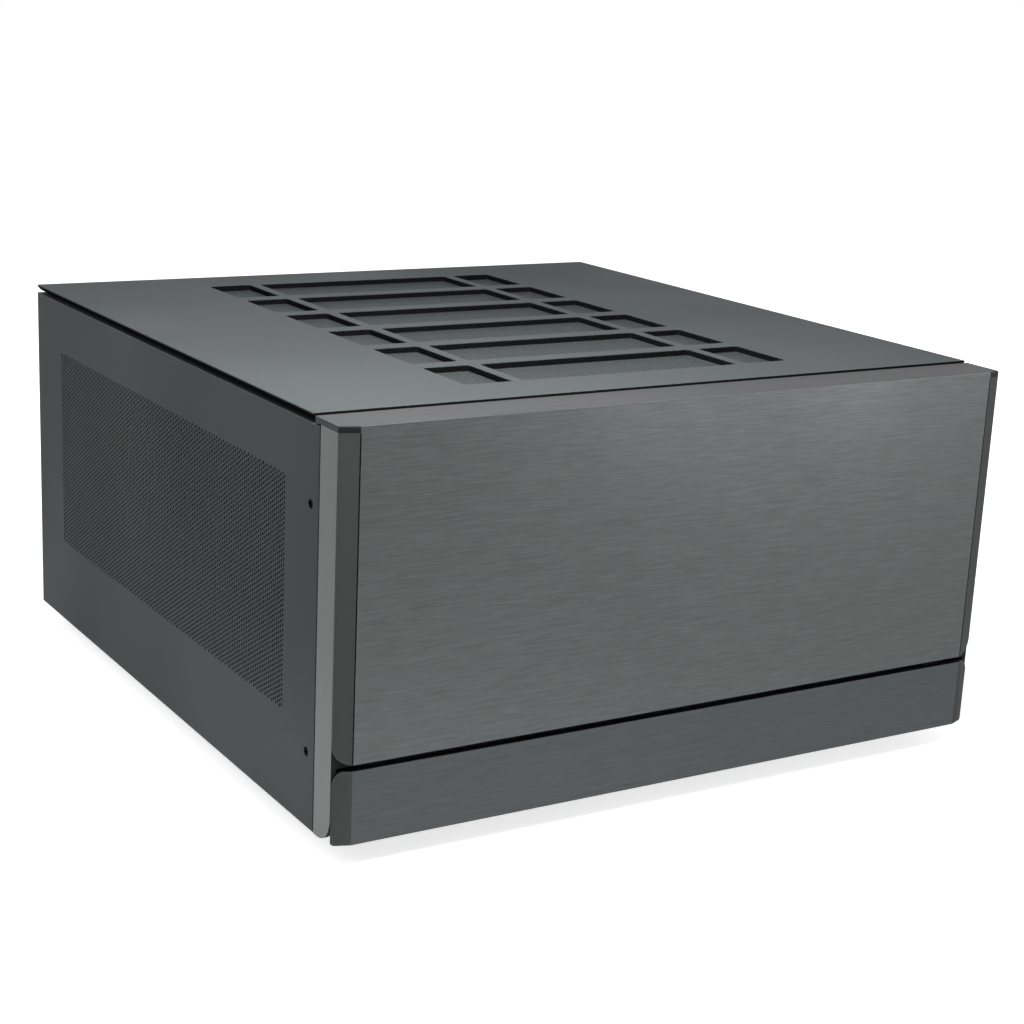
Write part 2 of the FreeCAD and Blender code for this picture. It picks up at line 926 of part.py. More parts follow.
def cheek_corner():
    """What is cut from the cheeks' lower front corners so that the door clears."""
    r = cheek_round
    face = front_plate + bezel_clearance
    block = box((-half_width - 1, half_width + 1), (face - 1, face + r), (-1, r))
    disc = rod(r, (face + r, r), side, -half_width - 2, half_width + 2)
    rest = box((-half_width - 2, half_width + 2), (face + r - 0.001, face + 2 * r), (-2, r + 1))
    return block.cut(disc).cut(rest).cut(box((-cheek_outer(), cheek_outer()), (0, bezel_depth * 2), (-2, recess_top)))


def hinge_pins():
    """Two steel pins, one in each cheek's boss."""
    pins = []
    for way in (-1, 1):
        inner = cheek_outer()
        x = sorted((way * inner, way * (inner - boss_length - arm_thickness - 2 * arm_side_gap)))
        pins.append(rod(hinge_pin, (hinge_back, hinge_height), side, x[0], x[1]))
    return pins


def hinge_arm():
    """The left arm: a plate from the back of the door to the eye on its pin."""
    outer = -arm_outer() + arm_side_gap
    x = (outer, outer + arm_thickness)
    eye = sheet([regular(8, arm_eye * 2, (hinge_back, hinge_height), side)], side, x[0], x[1])
    web_points = [
        (front_plate, hinge_height - arm_eye),
        (hinge_back, hinge_height - arm_eye),
        (hinge_back, hinge_height + arm_eye),
        (front_plate + 3, hinge_height + 14),
        (front_plate, hinge_height + 14),
    ]
    web = sheet([outline(web_points, side)], side, x[0], x[1])
    foot = box((x[0] - boss_length, x[1]), (front_plate, front_plate + 2), (hinge_height - arm_eye, hinge_height + 14))
    arm = fused([eye, web, foot])
    return arm.cut(rod(hinge_pin + running_gap, (hinge_back, hinge_height), side, x[0] - 1, x[1] + 1))


# Socket panel behind the door
def socket_panel():
    """The back of the recess: socket holes, a floor lip and side walls."""
    face = bezel_depth - socket_plate
    inner = cheek_outer()
    wires = [rectangle((-inner, inner), (0, recess_top), front)]
    z = socket_centre()
    for x in usb_places():
        half = usb_width / 2 + 0.2
        wires.append(rectangle((x - half, x + half), (z - usb_height / 2 - 0.2, z + usb_height / 2 + 0.2), front))
    for x in jack_places():
        wires.append(regular(8, jack_size - 0.6, (x, z), front))
    for x, radius in ((power_place(), power_radius), (reset_place(), reset_radius)):
        wires.append(regular(button_sides, (radius + button_gap) * 2, (x, z), front))
    for x in lens_places():
        wires.append(regular(8, lens_radius * 2 + 0.1, (x, z), front))
    plate = sheet(wires, front, face, bezel_depth)
    lip = box((-recess_half, recess_half), (recess_lip_front, face), (recess_lift, recess_floor))
    walls = []
    for way in (-1, 1):
        x = sorted((way * recess_half, way * (recess_half - recess_wall)))
        walls.append(box(x, (front_plate + 3, face), (recess_floor + 9, recess_top)))
        post_width = magnet_size + 2 * catch_margin
        post = sorted((way * (recess_half - recess_wall), way * (recess_half - recess_wall - post_width)))
        walls.append(box(post, (magnet_back(), face), (magnet_low() - catch_margin, recess_top)))
    return fused([plate, lip] + walls)


def magnet_back():
    return front_plate + magnet_gap + magnet_depth


def magnet_low():
    return recess_top - magnet_drop - magnet_height


def magnet_middle(way):
    return way * (recess_half - recess_wall - catch_margin - magnet_size / 2)


def socket_centre():
    return socket_board_height + socket_board + usb_height / 2


def usb_places():
    return [usb_inset - recess_half, usb_inset + usb_step - recess_half]


def jack_places():
    first = usb_places()[1] + jack_lead
    return [first, first + jack_step]


def power_place():
    return recess_half - power_inset


def reset_place():
    return power_place() - reset_step


def lens_places():
    first = reset_place() - lens_lead
    return [first, first - lens_step]


def socket_board_piece():
    """The printed board that carries the sockets, held at the panel's back."""
    x = (usb_places()[0] - socket_board_margin, jack_places()[-1] + socket_board_margin)
    return box(x, span(bezel_depth, socket_board_depth), span(socket_board_height, socket_board))


def usb_socket(x):
    """A shell with its tongue, standing on the board with its mouth forward."""
    z = socket_centre()
    face = bezel_depth - socket_plate
    half = usb_width / 2
    tall = usb_height / 2
    wall = usb_shell
    shell = box((x - half, x + half), span(face, usb_length), (z - tall, z + tall))
    mouth = box((x - half + wall, x + half - wall), (face - 1, face + usb_length - 3), (z - tall + wall, z + tall - wall))
    tongue = box((x - half + 1.5, x + half - 1.5), (face + 1, face + usb_length - 2), (z, z + usb_tongue))
    return fused([shell.cut(mouth), tongue])


def audio_jacks():
    """Two audio sockets, round at the front, on the same board."""
    pieces = []
    z = socket_centre()
    face = bezel_depth - socket_plate
    half = jack_size / 2
    for x in jack_places():
        low = socket_board_height + socket_board
        body = box((x - half - 1, x + half + 1), span(bezel_depth, jack_length), (low, z + half))
        nose = sheet([regular(8, jack_size - 0.8, (x, z), front)], front, face, bezel_depth)
        bore = sheet([regular(8, jack_hole * 2, (x, z), front)], front, face - 1, bezel_depth + jack_length - 2)
        pieces.append(fused([body, nose]).cut(bore))
    return pieces


def button(x, radius):
    """A push button with the collar that keeps it behind the panel."""
    z = socket_centre()
    face = bezel_depth - socket_plate
    collar_front = bezel_depth + rest_gap
    collar_back = collar_front + button_flange
    cap_wire = regular(button_sides, radius * 2, (x, z), front)
    cap = sheet([cap_wire], front, face - button_proud, collar_front)
    collar_wire = regular(button_sides, (radius + button_flange) * 2, (x, z), front)
    collar = sheet([collar_wire], front, collar_front, collar_back)
    stem_end = switch_face() - button_travel - rest_gap
    stem = sheet([regular(6, button_stem, (x, z), front)], front, collar_back, stem_end)
    return fused([cap, collar, stem])


def led_lenses():
    """Two small clear rods that carry the light of the board's lamps."""
    start = bezel_depth - socket_plate - rest_gap
    lenses = []
    for x in lens_places():
        wire = regular(8, lens_radius * 2, (x, socket_centre()), front)
        lenses.append(sheet([wire], front, start, switch_face()))
    return lenses


def switch_face():
    return bezel_depth + switch_reach


def switch_board():
    """The upright board with the switches that the buttons press."""
    z = socket_centre()
    y = switch_face() + switch_height
    low = lens_places()[1] - switch_board_margin
    high = power_place() + power_radius + switch_board_margin
    half = switch_board_half
    pieces = [box((low, high), span(y, socket_board), (z - half, z + half))]
    for x in (power_place(), reset_place()):
        reach = switch_half
        pieces.append(box((x - reach, x + reach), (switch_face(), y), (z - reach, z + reach)))
    for x in lens_places():
        reach = lens_radius
        pieces.append(box((x - reach, x + reach), (switch_face(), y), (z - reach, z + reach)))
    for x in (span(low, half / 2), span(high - half / 2, half / 2)):
        pieces.append(box(x, (bezel_depth, y), (z + half / 2, z + half)))
    return fused(pieces)


def door_magnets():
    """A magnet on each post of the recess."""
    pieces = []
    half = magnet_size / 2
    for way in (-1, 1):
        x = (magnet_middle(way) - half, magnet_middle(way) + half)
        pieces.append(box(x, (magnet_back() - magnet_depth, magnet_back()), span(magnet_low(), magnet_height)))
    return pieces


def door_catches():
    """The steel plate on the door that each magnet holds."""
    pieces = []
    half = magnet_size / 2 + catch_margin
    for way in (-1, 1):
        x = (magnet_middle(way) - half, magnet_middle(way) + half)
        z = (magnet_low() - catch_margin, magnet_low() + magnet_height)
        pieces.append(box(x, span(front_plate, catch_sheet), z))
    return pieces


# Feet
def foot_body(centre):
    """A round rubber foot with a blind hole for its screw."""
    solid = sheet([regular(20, foot_radius * 2, centre, plan)], plan, -foot_height, 0)
    hole = sheet([regular(6, foot_hole, centre, plan)], plan, foot_skin - foot_height, 1)
    return solid.cut(hole)


def foot_screws():
    """A screw from inside the floor into each foot."""
    top = floor_top + foot_screw_head
    size = (foot_screw, foot_screw_head, foot_screw_length)
    return [screw(*size, centre, plan, top, -1) for centre in feet_places()]


# Every piece is written here
save("chassis_floor", chassis_floor())
save_pair("side_frame", side_frame())
save("front_wall", front_wall())
save("rear_panel", rear_panel())
save("slot_frame", slot_frame())
for number, x in enumerate(slot_centres(), 1):
    save("slot_cover_" + str(number), slot_cover(x))
save("slot_screws", Part.makeCompound(slot_screws()))
save("board_standoffs", Part.makeCompound(standoffs()))
save("supply_pads", Part.makeCompound(supply_pads()))
save("drive_cage", drive_cage())
save("cross_brace", cross_brace())
save("fan_frame", fan_frame(-frame_inside, fan_bays()[1]))
save("fan_rotor", fan_rotor(-frame_inside, fan_bays()[1]))
save_pair("dust_filter", dust_filter())
save_pair("side_panel", side_panel())
save("left_panel_screws", Part.makeCompound(panel_screws()))
save("right_panel_screws", mirrored(Part.makeCompound(panel_screws())))
save("top_cover", top_cover())
save("vent_screen", vent_screen())
save("thumbscrews", Part.makeCompound(thumbscrews()))
save("front_fascia", fascia())
save("bezel_top_plate", bezel_top_plate())
save("bezel_frame", bezel_frame())
save_pair("corner_insert", corner_insert())
save("door", door())
save_pair("hinge_arm", hinge_arm())
save("hinge_pins", Part.makeCompound(hinge_pins()))
save("socket_panel", socket_panel())
save("socket_board", socket_board_piece())
for number, x in enumerate(usb_places(), 1):
    save("usb_socket_" + str(number), usb_socket(x))
save("audio_jacks", Part.makeCompound(audio_jacks()))
save("switch_board", switch_board())
save("power_button", button(power_place(), power_radius))
save("reset_button", button(reset_place(), reset_radius))
save("led_lenses", Part.makeCompound(led_lenses()))
save("door_magnets", Part.makeCompound(door_magnets()))
save("door_catches", Part.makeCompound(door_catches()))
for name, centre in zip(("front_left", "back_left", "front_right", "back_right"), feet_places()):
    save("foot_" + name, foot_body(centre))
save("foot_screws", Part.makeCompound(foot_screws()))
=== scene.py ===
# %% [markdown]
# # A desktop case for the living room
# The real case is a steel box under a thick windowed cover, with perforated
# sides, a brushed front plate and a door that flips down over the sockets. It
# could all be modelled from nothing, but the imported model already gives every
# piece at its true size and place. So each piece that is seen starts from its
# box or its mesh, and gets its fine form and its finish here.

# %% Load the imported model
import bpy
import bmesh
import math
from mathutils import Matrix, Vector


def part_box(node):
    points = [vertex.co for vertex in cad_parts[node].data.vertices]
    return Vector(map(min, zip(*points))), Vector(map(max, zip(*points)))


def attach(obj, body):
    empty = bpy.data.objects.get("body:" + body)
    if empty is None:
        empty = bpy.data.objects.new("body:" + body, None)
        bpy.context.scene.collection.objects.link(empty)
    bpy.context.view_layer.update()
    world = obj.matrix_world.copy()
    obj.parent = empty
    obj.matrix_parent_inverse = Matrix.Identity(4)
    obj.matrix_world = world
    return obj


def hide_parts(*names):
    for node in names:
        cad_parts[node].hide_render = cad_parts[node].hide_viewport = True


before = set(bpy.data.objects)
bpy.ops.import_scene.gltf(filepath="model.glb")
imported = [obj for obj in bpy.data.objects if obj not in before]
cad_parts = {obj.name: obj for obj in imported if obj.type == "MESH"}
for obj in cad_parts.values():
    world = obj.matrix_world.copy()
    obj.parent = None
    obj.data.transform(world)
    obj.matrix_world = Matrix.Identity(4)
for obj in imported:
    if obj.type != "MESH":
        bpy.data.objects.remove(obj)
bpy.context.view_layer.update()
mm = 0.001

# %% [markdown]
# The drawing of the case counts in millimetres from its front face and from
# its underside. Each number could be turned into a place by hand, but one
# small helper does it in the same way every time, and it reads both zero
# lines from the model.

# %% Places on the drawing
front_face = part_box("front_fascia")[0].y
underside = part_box("chassis_floor")[0].z
half_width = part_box("top_cover")[1].x


def at(x, y, z):
    """Millimetres on the drawing as a place in the scene."""
    return Vector((x * mm, front_face + y * mm, underside + z * mm))


print("front", round(front_face, 4), "underside", round(underside, 4))
print("half width", round(half_width, 4))

# %% [markdown]
# ## Studio
# The picture is taken from the front left, a little above the cover. The
# camera's place, turn and lens could be set by eye, but the straight edges of
# the case give them exactly, so they were worked out from those. The camera
# leans by about two degrees, and a small shift puts the middle of the lens
# where it was.

# %% Camera
eye = Vector((-0.64985, -1.08276, 0.45153))
right = Vector((0.86137391, -0.50631531, 0.04098526))
up = Vector((0.10175967, 0.25104131, 0.96261271))
look = Vector((0.49767455, 0.82499883, -0.26776291))
camera_data = bpy.data.cameras.new("camera")
camera = bpy.data.objects.new("camera", camera_data)
bpy.context.collection.objects.link(camera)
turn = Matrix((right, up, -look)).transposed().to_4x4()
camera.matrix_world = Matrix.Translation(eye) @ turn
camera_data.lens = 70.106
camera_data.sensor_width = 36
camera_data.shift_x = 0.0288
camera_data.shift_y = 0.01657
camera_data.clip_start = 0.01
bpy.context.scene.camera = camera
bpy.context.scene.view_settings.view_transform = "Standard"
print("camera", [round(value, 3) for value in camera.location])

# %% [markdown]
# The room is even and white, and the floor is pale. A room bright enough to
# look white would flood the case with light. So the Light Path node tells two
# cases apart: the room lights the case at a plain level, and what is looked
# at, straight, in a reflection or through a hole, is white.

# %% What is looked at


def looked_at(nodes, links):
    """An output that is 1 for rays that look at something, and 0 for light."""
    path = nodes.new("ShaderNodeLightPath")
    value = path.outputs["Is Camera Ray"]
    for kind in ("Is Glossy Ray", "Is Transmission Ray"):
        larger = nodes.new("ShaderNodeMath")
        larger.operation = "MAXIMUM"
        links.new(value, larger.inputs[0])
        links.new(path.outputs[kind], larger.inputs[1])
        value = larger.outputs[0]
    return value


print("light path helper ready")

# %% Room
room_light = 0.42
world = bpy.data.worlds.new("room")
bpy.context.scene.world = world
world.use_nodes = True
nodes = world.node_tree.nodes
links = world.node_tree.links
nodes.clear()
lit = nodes.new("ShaderNodeBackground")
lit.inputs["Color"].default_value = (0.98, 0.99, 1, 1)
lit.inputs["Strength"].default_value = room_light
shown = nodes.new("ShaderNodeBackground")
shown.inputs["Color"].default_value = (1, 1, 1, 1)
shown.inputs["Strength"].default_value = 1.0
room_mix = nodes.new("ShaderNodeMixShader")
room_out = nodes.new("ShaderNodeOutputWorld")
links.new(looked_at(nodes, links), room_mix.inputs[0])
links.new(lit.outputs[0], room_mix.inputs[1])
links.new(shown.outputs[0], room_mix.inputs[2])
links.new(room_mix.outputs[0], room_out.inputs[0])
print("room light", room_light)

# %% [markdown]
# The floor is matt and catches the soft shadow of the case. Lit by the lamps
# alone it would be a grey sheet in a white room. So it adds some white of its
# own where it is looked at, and meets the room without an edge.

# %% Floor
floor_size = 30
floor_glow = 0.7
bpy.ops.mesh.primitive_plane_add(size=floor_size, location=(0, 0, 0))
floor = bpy.context.object
floor.name = "studio_floor"
floor_paint = bpy.data.materials.new("studio floor")
floor_paint.use_nodes = True
nodes = floor_paint.node_tree.nodes
links = floor_paint.node_tree.links
nodes.clear()
shade = nodes.new("ShaderNodeBsdfDiffuse")
shade.inputs["Color"].default_value = (0.8, 0.8, 0.8, 1)
lift = nodes.new("ShaderNodeMath")
lift.operation = "MULTIPLY"
lift.inputs[1].default_value = floor_glow
links.new(looked_at(nodes, links), lift.inputs[0])
glow = nodes.new("ShaderNodeEmission")
links.new(lift.outputs[0], glow.inputs["Strength"])
both = nodes.new("ShaderNodeAddShader")
out = nodes.new("ShaderNodeOutputMaterial")
links.new(shade.outputs[0], both.inputs[0])
links.new(glow.outputs[0], both.inputs[1])
links.new(both.outputs[0], out.inputs[0])
floor.data.materials.append(floor_paint)
print("floor glow", floor_glow)

# %% [markdown]
# The lamps are square soft boxes, as in a studio. One large box could light
# the whole case, but its left side, cover and front each have their own tone.
# So each has a box of its own, with a low one for the front and the door and
# a weak one behind the cover. Two more light the right side and the back,
# which only the turned views show.

# %% Lamps


def lamp(name, place, target, size, power):
    """A square soft box that faces the target and isn't seen itself."""
    data = bpy.data.lights.new(name, "AREA")
    data.shape = "SQUARE"
    data.size = size
    data.energy = power
    box = bpy.data.objects.new(name, data)
    bpy.context.collection.objects.link(box)
    box.location = place
    box.rotation_euler = (Vector(target) - Vector(place)).to_track_quat("-Z", "Y").to_euler()
    box.visible_camera = False
    return box


lamp("soft_box_left", (-1.6, 0.5, 1.3), (-0.2, 0.15, 0.1), 1.2, 8.5)
lamp("soft_box_behind", (0.38, 1.25, 0.75), (-0.1, -0.1, 0.24), 0.6, 0.7)
lamp("soft_box_above", (-0.19, -0.32, 0.62), (-0.12, -0.2, 0.24), 0.3, 9.5)
lamp("soft_box_front", (1.15, -2.05, 0.5), (0.02, -0.23, 0.12), 0.8, 6)
lamp("soft_box_low", (0.78, -1.2, 0.19), (0.05, -0.23, 0.13), 0.3, 4.2)
lamp("soft_box_right", (2.1, 0.6, 0.6), (0.22, 0.05, 0.12), 1.2, 15)
lamp("soft_box_back", (-0.8, 2.2, 0.8), (0, 0.23, 0.1), 1.2, 12)
print("lamps", [item.name for item in bpy.data.lights])

# %% [markdown]
# ## Finishes
# Paint, brushed plate and moulded plastic all vary in the same two ways: a
# fine grain that changes colour and height a little, and broad clouds where
# the surface is smoother or duller. Each finish could have its own nodes for
# this, but one node group makes both for all of them. Its stretch turns the
# grain into a speckle when it is even, and into brushed lines when one
# direction is much shorter.

# %% Sockets of the grain group
grain = bpy.data.node_groups.new("surface grain", "ShaderNodeTree")
for label, kind, value in (
    ("Dark", "NodeSocketColor", (0.1, 0.1, 0.1, 1)),
    ("Light", "NodeSocketColor", (0.12, 0.12, 0.12, 1)),
    ("Stretch", "NodeSocketVector", (1500, 1500, 1500)),
    ("Clouds", "NodeSocketFloat", 6.0),
    ("Smooth", "NodeSocketFloat", 0.4),
    ("Dull", "NodeSocketFloat", 0.5),
):
    socket = grain.interface.new_socket(name=label, in_out="INPUT", socket_type=kind)
    socket.default_value = value
for label, kind in (
    ("Color", "NodeSocketColor"),
    ("Roughness", "NodeSocketFloat"),
    ("Height", "NodeSocketFloat"),
):
    grain.interface.new_socket(name=label, in_out="OUTPUT", socket_type=kind)
print("sockets", len(grain.interface.items_tree))

# %% Fine grain and broad clouds
nodes = grain.nodes
links = grain.links
given = nodes.new("NodeGroupInput")
result = nodes.new("NodeGroupOutput")
place = nodes.new("ShaderNodeTexCoord")
scaled = nodes.new("ShaderNodeVectorMath")
scaled.operation = "MULTIPLY"
links.new(place.outputs["Object"], scaled.inputs[0])
links.new(given.outputs["Stretch"], scaled.inputs[1])
fine = nodes.new("ShaderNodeTexNoise")
fine.inputs["Scale"].default_value = 1.0
fine.inputs["Detail"].default_value = 4.0
fine.inputs["Roughness"].default_value = 0.6
links.new(scaled.outputs[0], fine.inputs["Vector"])
broad = nodes.new("ShaderNodeTexNoise")
broad.inputs["Detail"].default_value = 2.0
links.new(place.outputs["Object"], broad.inputs["Vector"])
links.new(given.outputs["Clouds"], broad.inputs["Scale"])
print("grain and clouds made")

# %% Colour, roughness and height
spread = nodes.new("ShaderNodeMapRange")
spread.inputs["From Min"].default_value = 0.3
spread.inputs["From Max"].default_value = 0.7
links.new(fine.outputs["Fac"], spread.inputs["Value"])
tint = nodes.new("ShaderNodeMix")
tint.data_type = "RGBA"
links.new(spread.outputs["Result"], tint.inputs["Factor"])
links.new(given.outputs["Dark"], tint.inputs["A"])
links.new(given.outputs["Light"], tint.inputs["B"])
dull = nodes.new("ShaderNodeMapRange")
dull.inputs["From Min"].default_value = 0.35
dull.inputs["From Max"].default_value = 0.65
links.new(broad.outputs["Fac"], dull.inputs["Value"])
links.new(given.outputs["Smooth"], dull.inputs["To Min"])
links.new(given.outputs["Dull"], dull.inputs["To Max"])
links.new(tint.outputs["Result"], result.inputs["Color"])
links.new(dull.outputs["Result"], result.inputs["Roughness"])
links.new(fine.outputs["Fac"], result.inputs["Height"])
print("group", grain.name, len(grain.nodes), "nodes")

# %% [markdown]
# Each finish is a Principled shader of its own with the group's colour,
# roughness and height. What is the same all over, such as how metallic it
# is, stays on the shader's own sockets.

# %% One finish


def finish(name, greys, stretch, rough, bump, metal=0.0, clouds=6.0, specular=0.5, tint=(1, 1, 1)):
    """A tinted material between two greys, with its roughness and bump in mm."""
    made = bpy.data.materials.new(name)
    made.use_nodes = True
    nodes = made.node_tree.nodes
    links = made.node_tree.links
    shader = nodes["Principled BSDF"]
    group = nodes.new("ShaderNodeGroup")
    group.node_tree = grain
    for label, grey in zip(("Dark", "Light"), greys):
        group.inputs[label].default_value = [grey * part for part in tint] + [1]
    for label, value in zip(("Smooth", "Dull"), rough):
        group.inputs[label].default_value = value
    group.inputs["Stretch"].default_value = stretch
    group.inputs["Clouds"].default_value = clouds
    strength, height = bump
    relief = nodes.new("ShaderNodeBump")
    relief.inputs["Strength"].default_value = strength
    relief.inputs["Distance"].default_value = height * mm
    links.new(group.outputs["Height"], relief.inputs["Height"])
    links.new(relief.outputs["Normal"], shader.inputs["Normal"])
    links.new(group.outputs["Color"], shader.inputs["Base Color"])
    links.new(group.outputs["Roughness"], shader.inputs["Roughness"])
    shader.inputs["Metallic"].default_value = metal
    shader.inputs["Specular IOR Level"].default_value = specular
    return made


print("finish helper ready")

# %% [markdown]
# The sides and the cover are painted steel, so their grain is an even
# speckle. The front plate, the door and the bezel's top are brushed along x:
# their grain is long that way and very fine across it. Their slanted ends
# and the cheeks are smoother, and the slanted ends are also darker than the
# front plate: that darker colour is painted shade. A paint's specular level is
# low, because the real paint is matt and hardly mirrors the white room.

# %% Outer finishes
speckle = (1400, 1400, 1400)
cool = (0.9, 1.0, 1.02)
side_paint = finish(
    "side panel paint", (0.024, 0.034), speckle, rough=(0.5, 0.6), bump=(0.25, 0.1),
    specular=0.05, tint=cool)
cover_paint = finish(
    "cover paint", (0.034, 0.047), speckle, rough=(0.38, 0.46), bump=(0.15, 0.1),
    specular=0.006, tint=cool)
brushed = finish(
    "brushed front", (0.039, 0.065), (70, 70, 3600), rough=(0.34, 0.42), bump=(0.3, 0.05),
    metal=1.0, tint=(0.95, 1.0, 1.0))
door_brushed = finish(
    "brushed door", (0.031, 0.047), (70, 70, 3800), rough=(0.36, 0.44), bump=(0.3, 0.05),
    metal=1.0, tint=(0.92, 1.0, 1.01))
# The slanted ends are the same plate as the front; their darker colour is painted shade, their
# lower roughness is the finish.
slanted = finish(
    "slanted end", (0.027, 0.034), speckle, rough=(0.45, 0.55), bump=(0.1, 0.05),
    specular=0.05, tint=(0.96, 1.0, 0.99))
plate = finish(
    "bezel plate", (0.029, 0.04), (14, 1500, 14), rough=(0.4, 0.48), bump=(0.3, 0.06),
    metal=0.2, specular=0.01, tint=(0.97, 0.98, 1.01))
cheek = finish(
    "satin cheek", (0.074, 0.088), speckle, rough=(0.5, 0.56), bump=(0.12, 0.08),
    metal=0.2, specular=0.2, tint=(0.97, 1.0, 0.99))
print("outer finishes made")

# %% [markdown]
# Inside, the steel has a coarser powder coat, and the moulded pieces are
# black. Screws, slot covers and sockets are plated, the standoffs are brass,
# and the feet are rubber. Plated steel is fully metallic, with small clouds.

# %% Inner finishes
black = finish(
    "black moulding", (0.006, 0.01), (900, 900, 900), rough=(0.5, 0.6), bump=(0.3, 0.1),
    specular=0.04)
inner_coat = finish(
    "inner coat", (0.009, 0.014), (1100, 1100, 1100), rough=(0.6, 0.7), bump=(0.2, 0.1),
    specular=0.05)
# Near-black and without sheen: painted shade for deep gaps, grooves and walls, which the lamps
# leave lighter.
painted_shade_black = finish(
    "painted shade", (0.003, 0.006), (900, 900, 900), rough=(0.7, 0.8), bump=(0.2, 0.1),
    specular=0.0)
powder = finish(
    "powder coat", (0.022, 0.034), (1100, 1100, 1100), rough=(0.5, 0.62), bump=(0.3, 0.15),
    specular=0.18)
zinc = finish(
    "zinc plate", (0.2, 0.28), (500, 500, 500), rough=(0.42, 0.54), bump=(0.1, 0.05),
    metal=1.0, clouds=25)
black_steel = finish(
    "black screw", (0.004, 0.007), (1500, 1500, 1500), rough=(0.45, 0.55), bump=(0.15, 0.05),
    clouds=40, specular=0.0)
brass = finish(
    "turned brass", (0.75, 0.9), (60, 60, 3000), rough=(0.25, 0.35), bump=(0.15, 0.04),
    metal=1.0, tint=(0.85, 0.62, 0.28))
rubber = finish(
    "foot rubber", (0.018, 0.03), (800, 800, 800), rough=(0.7, 0.85), bump=(0.4, 0.2),
    specular=0.3)
mask = finish(
    "board mask", (0.1, 0.14), (500, 500, 500), rough=(0.25, 0.4), bump=(0.15, 0.06),
    tint=(0.15, 0.9, 0.45))
nickel = finish(
    "nickel", (0.2, 0.27), (900, 900, 900), rough=(0.36, 0.46), bump=(0.06, 0.03),
    metal=1.0, clouds=40)
mesh_black = finish(
    "filter mesh", (0.005, 0.01), (700, 700, 700), rough=(0.7, 0.8), bump=(0.5, 0.4),
    specular=0.05)
lens = finish(
    "lens", (0.55, 0.62), (600, 600, 600), rough=(0.2, 0.28), bump=(0.05, 0.03),
    tint=(0.95, 1.0, 1.0))
print("finishes", len(bpy.data.materials))

# %% [markdown]
# ## Tools for modelling
# An operator works on all that is selected, so each piece starts with nothing
# selected. Faces and edges could be picked by their numbers, but those change
# with every operator, so they are picked by where they are.

# %% Pick by place
touch = 0.1 * mm


def fresh():
    """Object mode, with nothing selected."""
    if bpy.context.object and bpy.context.object.mode != "OBJECT":
        bpy.ops.object.mode_set(mode="OBJECT")
    bpy.ops.object.select_all(action="DESELECT")


def take(piece):
    """Makes a piece the only one that is selected."""
    fresh()
    bpy.context.view_layer.objects.active = piece
    piece.select_set(True)


def block(name, low, high):
    """A block between two corners, with its place in its mesh."""
    fresh()
    bpy.ops.mesh.primitive_cube_add(size=1, location=(low + high) / 2)
    piece = bpy.context.object
    piece.name = name
    piece.scale = high - low
    bpy.ops.object.transform_apply(location=True, rotation=True, scale=True)
    return piece


def pick(kind, test):
    """In edit mode, selects the vertices, edges or faces that pass a test."""
    bpy.ops.mesh.select_mode(type=kind)
    bpy.ops.mesh.select_all(action="DESELECT")
    mesh = bmesh.from_edit_mesh(bpy.context.object.data)
    items = {"VERT": mesh.verts, "EDGE": mesh.edges, "FACE": mesh.faces}[kind]
    count = 0
    for item in items:
        if test(item):
            item.select_set(True)
            count += 1
    mesh.select_flush_mode()
    bmesh.update_edit_mesh(bpy.context.object.data)
    return count


def middle(edge):
    """The place halfway along an edge."""
    return (edge.verts[0].co + edge.verts[1].co) / 2


def runs(edge, axis):
    """True where an edge runs along one axis."""
    span = edge.verts[1].co - edge.verts[0].co
    return span.length > 0 and abs(span[axis]) > 0.999 * span.length


def extrude(depth):
    """In edit mode, extrudes the selected faces along z."""
    bpy.ops.mesh.extrude_region_move(TRANSFORM_OT_translate={"value": (0, 0, depth)})


print("picking helpers ready")

# %% [markdown]
# Modifiers finish a piece. Every edge of a real case is a little round and
# catches the light, so a bevel goes round it. Plain smooth shading would
# bend the look of the large flat faces, so weighted normals follow those and
# leave the turn of the light to the narrow bevel.

# %% Modifiers and roundings


def modify(piece, kind, **values):
    """Adds a modifier and applies it."""
    take(piece)
    modifier = piece.modifiers.new(kind.lower(), kind)
    for key, value in values.items():
        setattr(modifier, key, value)
    bpy.ops.object.modifier_apply(modifier=modifier.name)


def cut(piece, low, high):
    """Takes a block between two corners out of a piece."""
    cutter = block("cutter", low, high)
    modify(piece, "BOOLEAN", object=cutter, operation="DIFFERENCE", solver="EXACT")
    bpy.data.objects.remove(cutter)


def soften(piece, width, segments=2, angle=35):
    """Small rounded edges, with normals that follow the large faces."""
    modify(
        piece, "BEVEL", width=width, segments=segments,
        limit_method="ANGLE", angle_limit=math.radians(angle))
    bpy.ops.object.shade_smooth_by_angle(angle=math.radians(30))
    modify(piece, "WEIGHTED_NORMAL", keep_sharp=True)


def outward(piece):
    """Makes the faces of a closed piece point outwards."""
    take(piece)
    bpy.ops.object.mode_set(mode="EDIT")
    bpy.ops.mesh.select_all(action="SELECT")
    bpy.ops.mesh.remove_doubles(threshold=0.005 * mm)
    bpy.ops.mesh.normals_make_consistent(inside=False)
    bpy.ops.object.mode_set(mode="OBJECT")


def face_up(piece):
    """In edit mode, makes all faces of a flat sheet point up."""
    bpy.ops.mesh.select_all(action="SELECT")
    bpy.ops.mesh.normals_make_consistent(inside=False)
    mesh = bmesh.from_edit_mesh(piece.data)
    if sum(face.normal.z for face in mesh.faces) < 0:
        bpy.ops.mesh.flip_normals()


print("rounding helpers ready")

# %% [markdown]
# Every finished piece rides the body that it moves with, and the pieces of
# the model that it stands for are hidden. Screws repeat, and so does a whole
# side, so a head is modelled once and copied, and a side is mirrored. A
# mirror turns a mesh inside out, so the copy's faces are flipped back.


def dress(piece, material, body, *nodes):
    """Gives a piece its material and its body, and hides the nodes it stands for."""
    piece.data.materials.clear()
    piece.data.materials.append(material)
    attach(piece, body)
    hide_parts(*nodes)


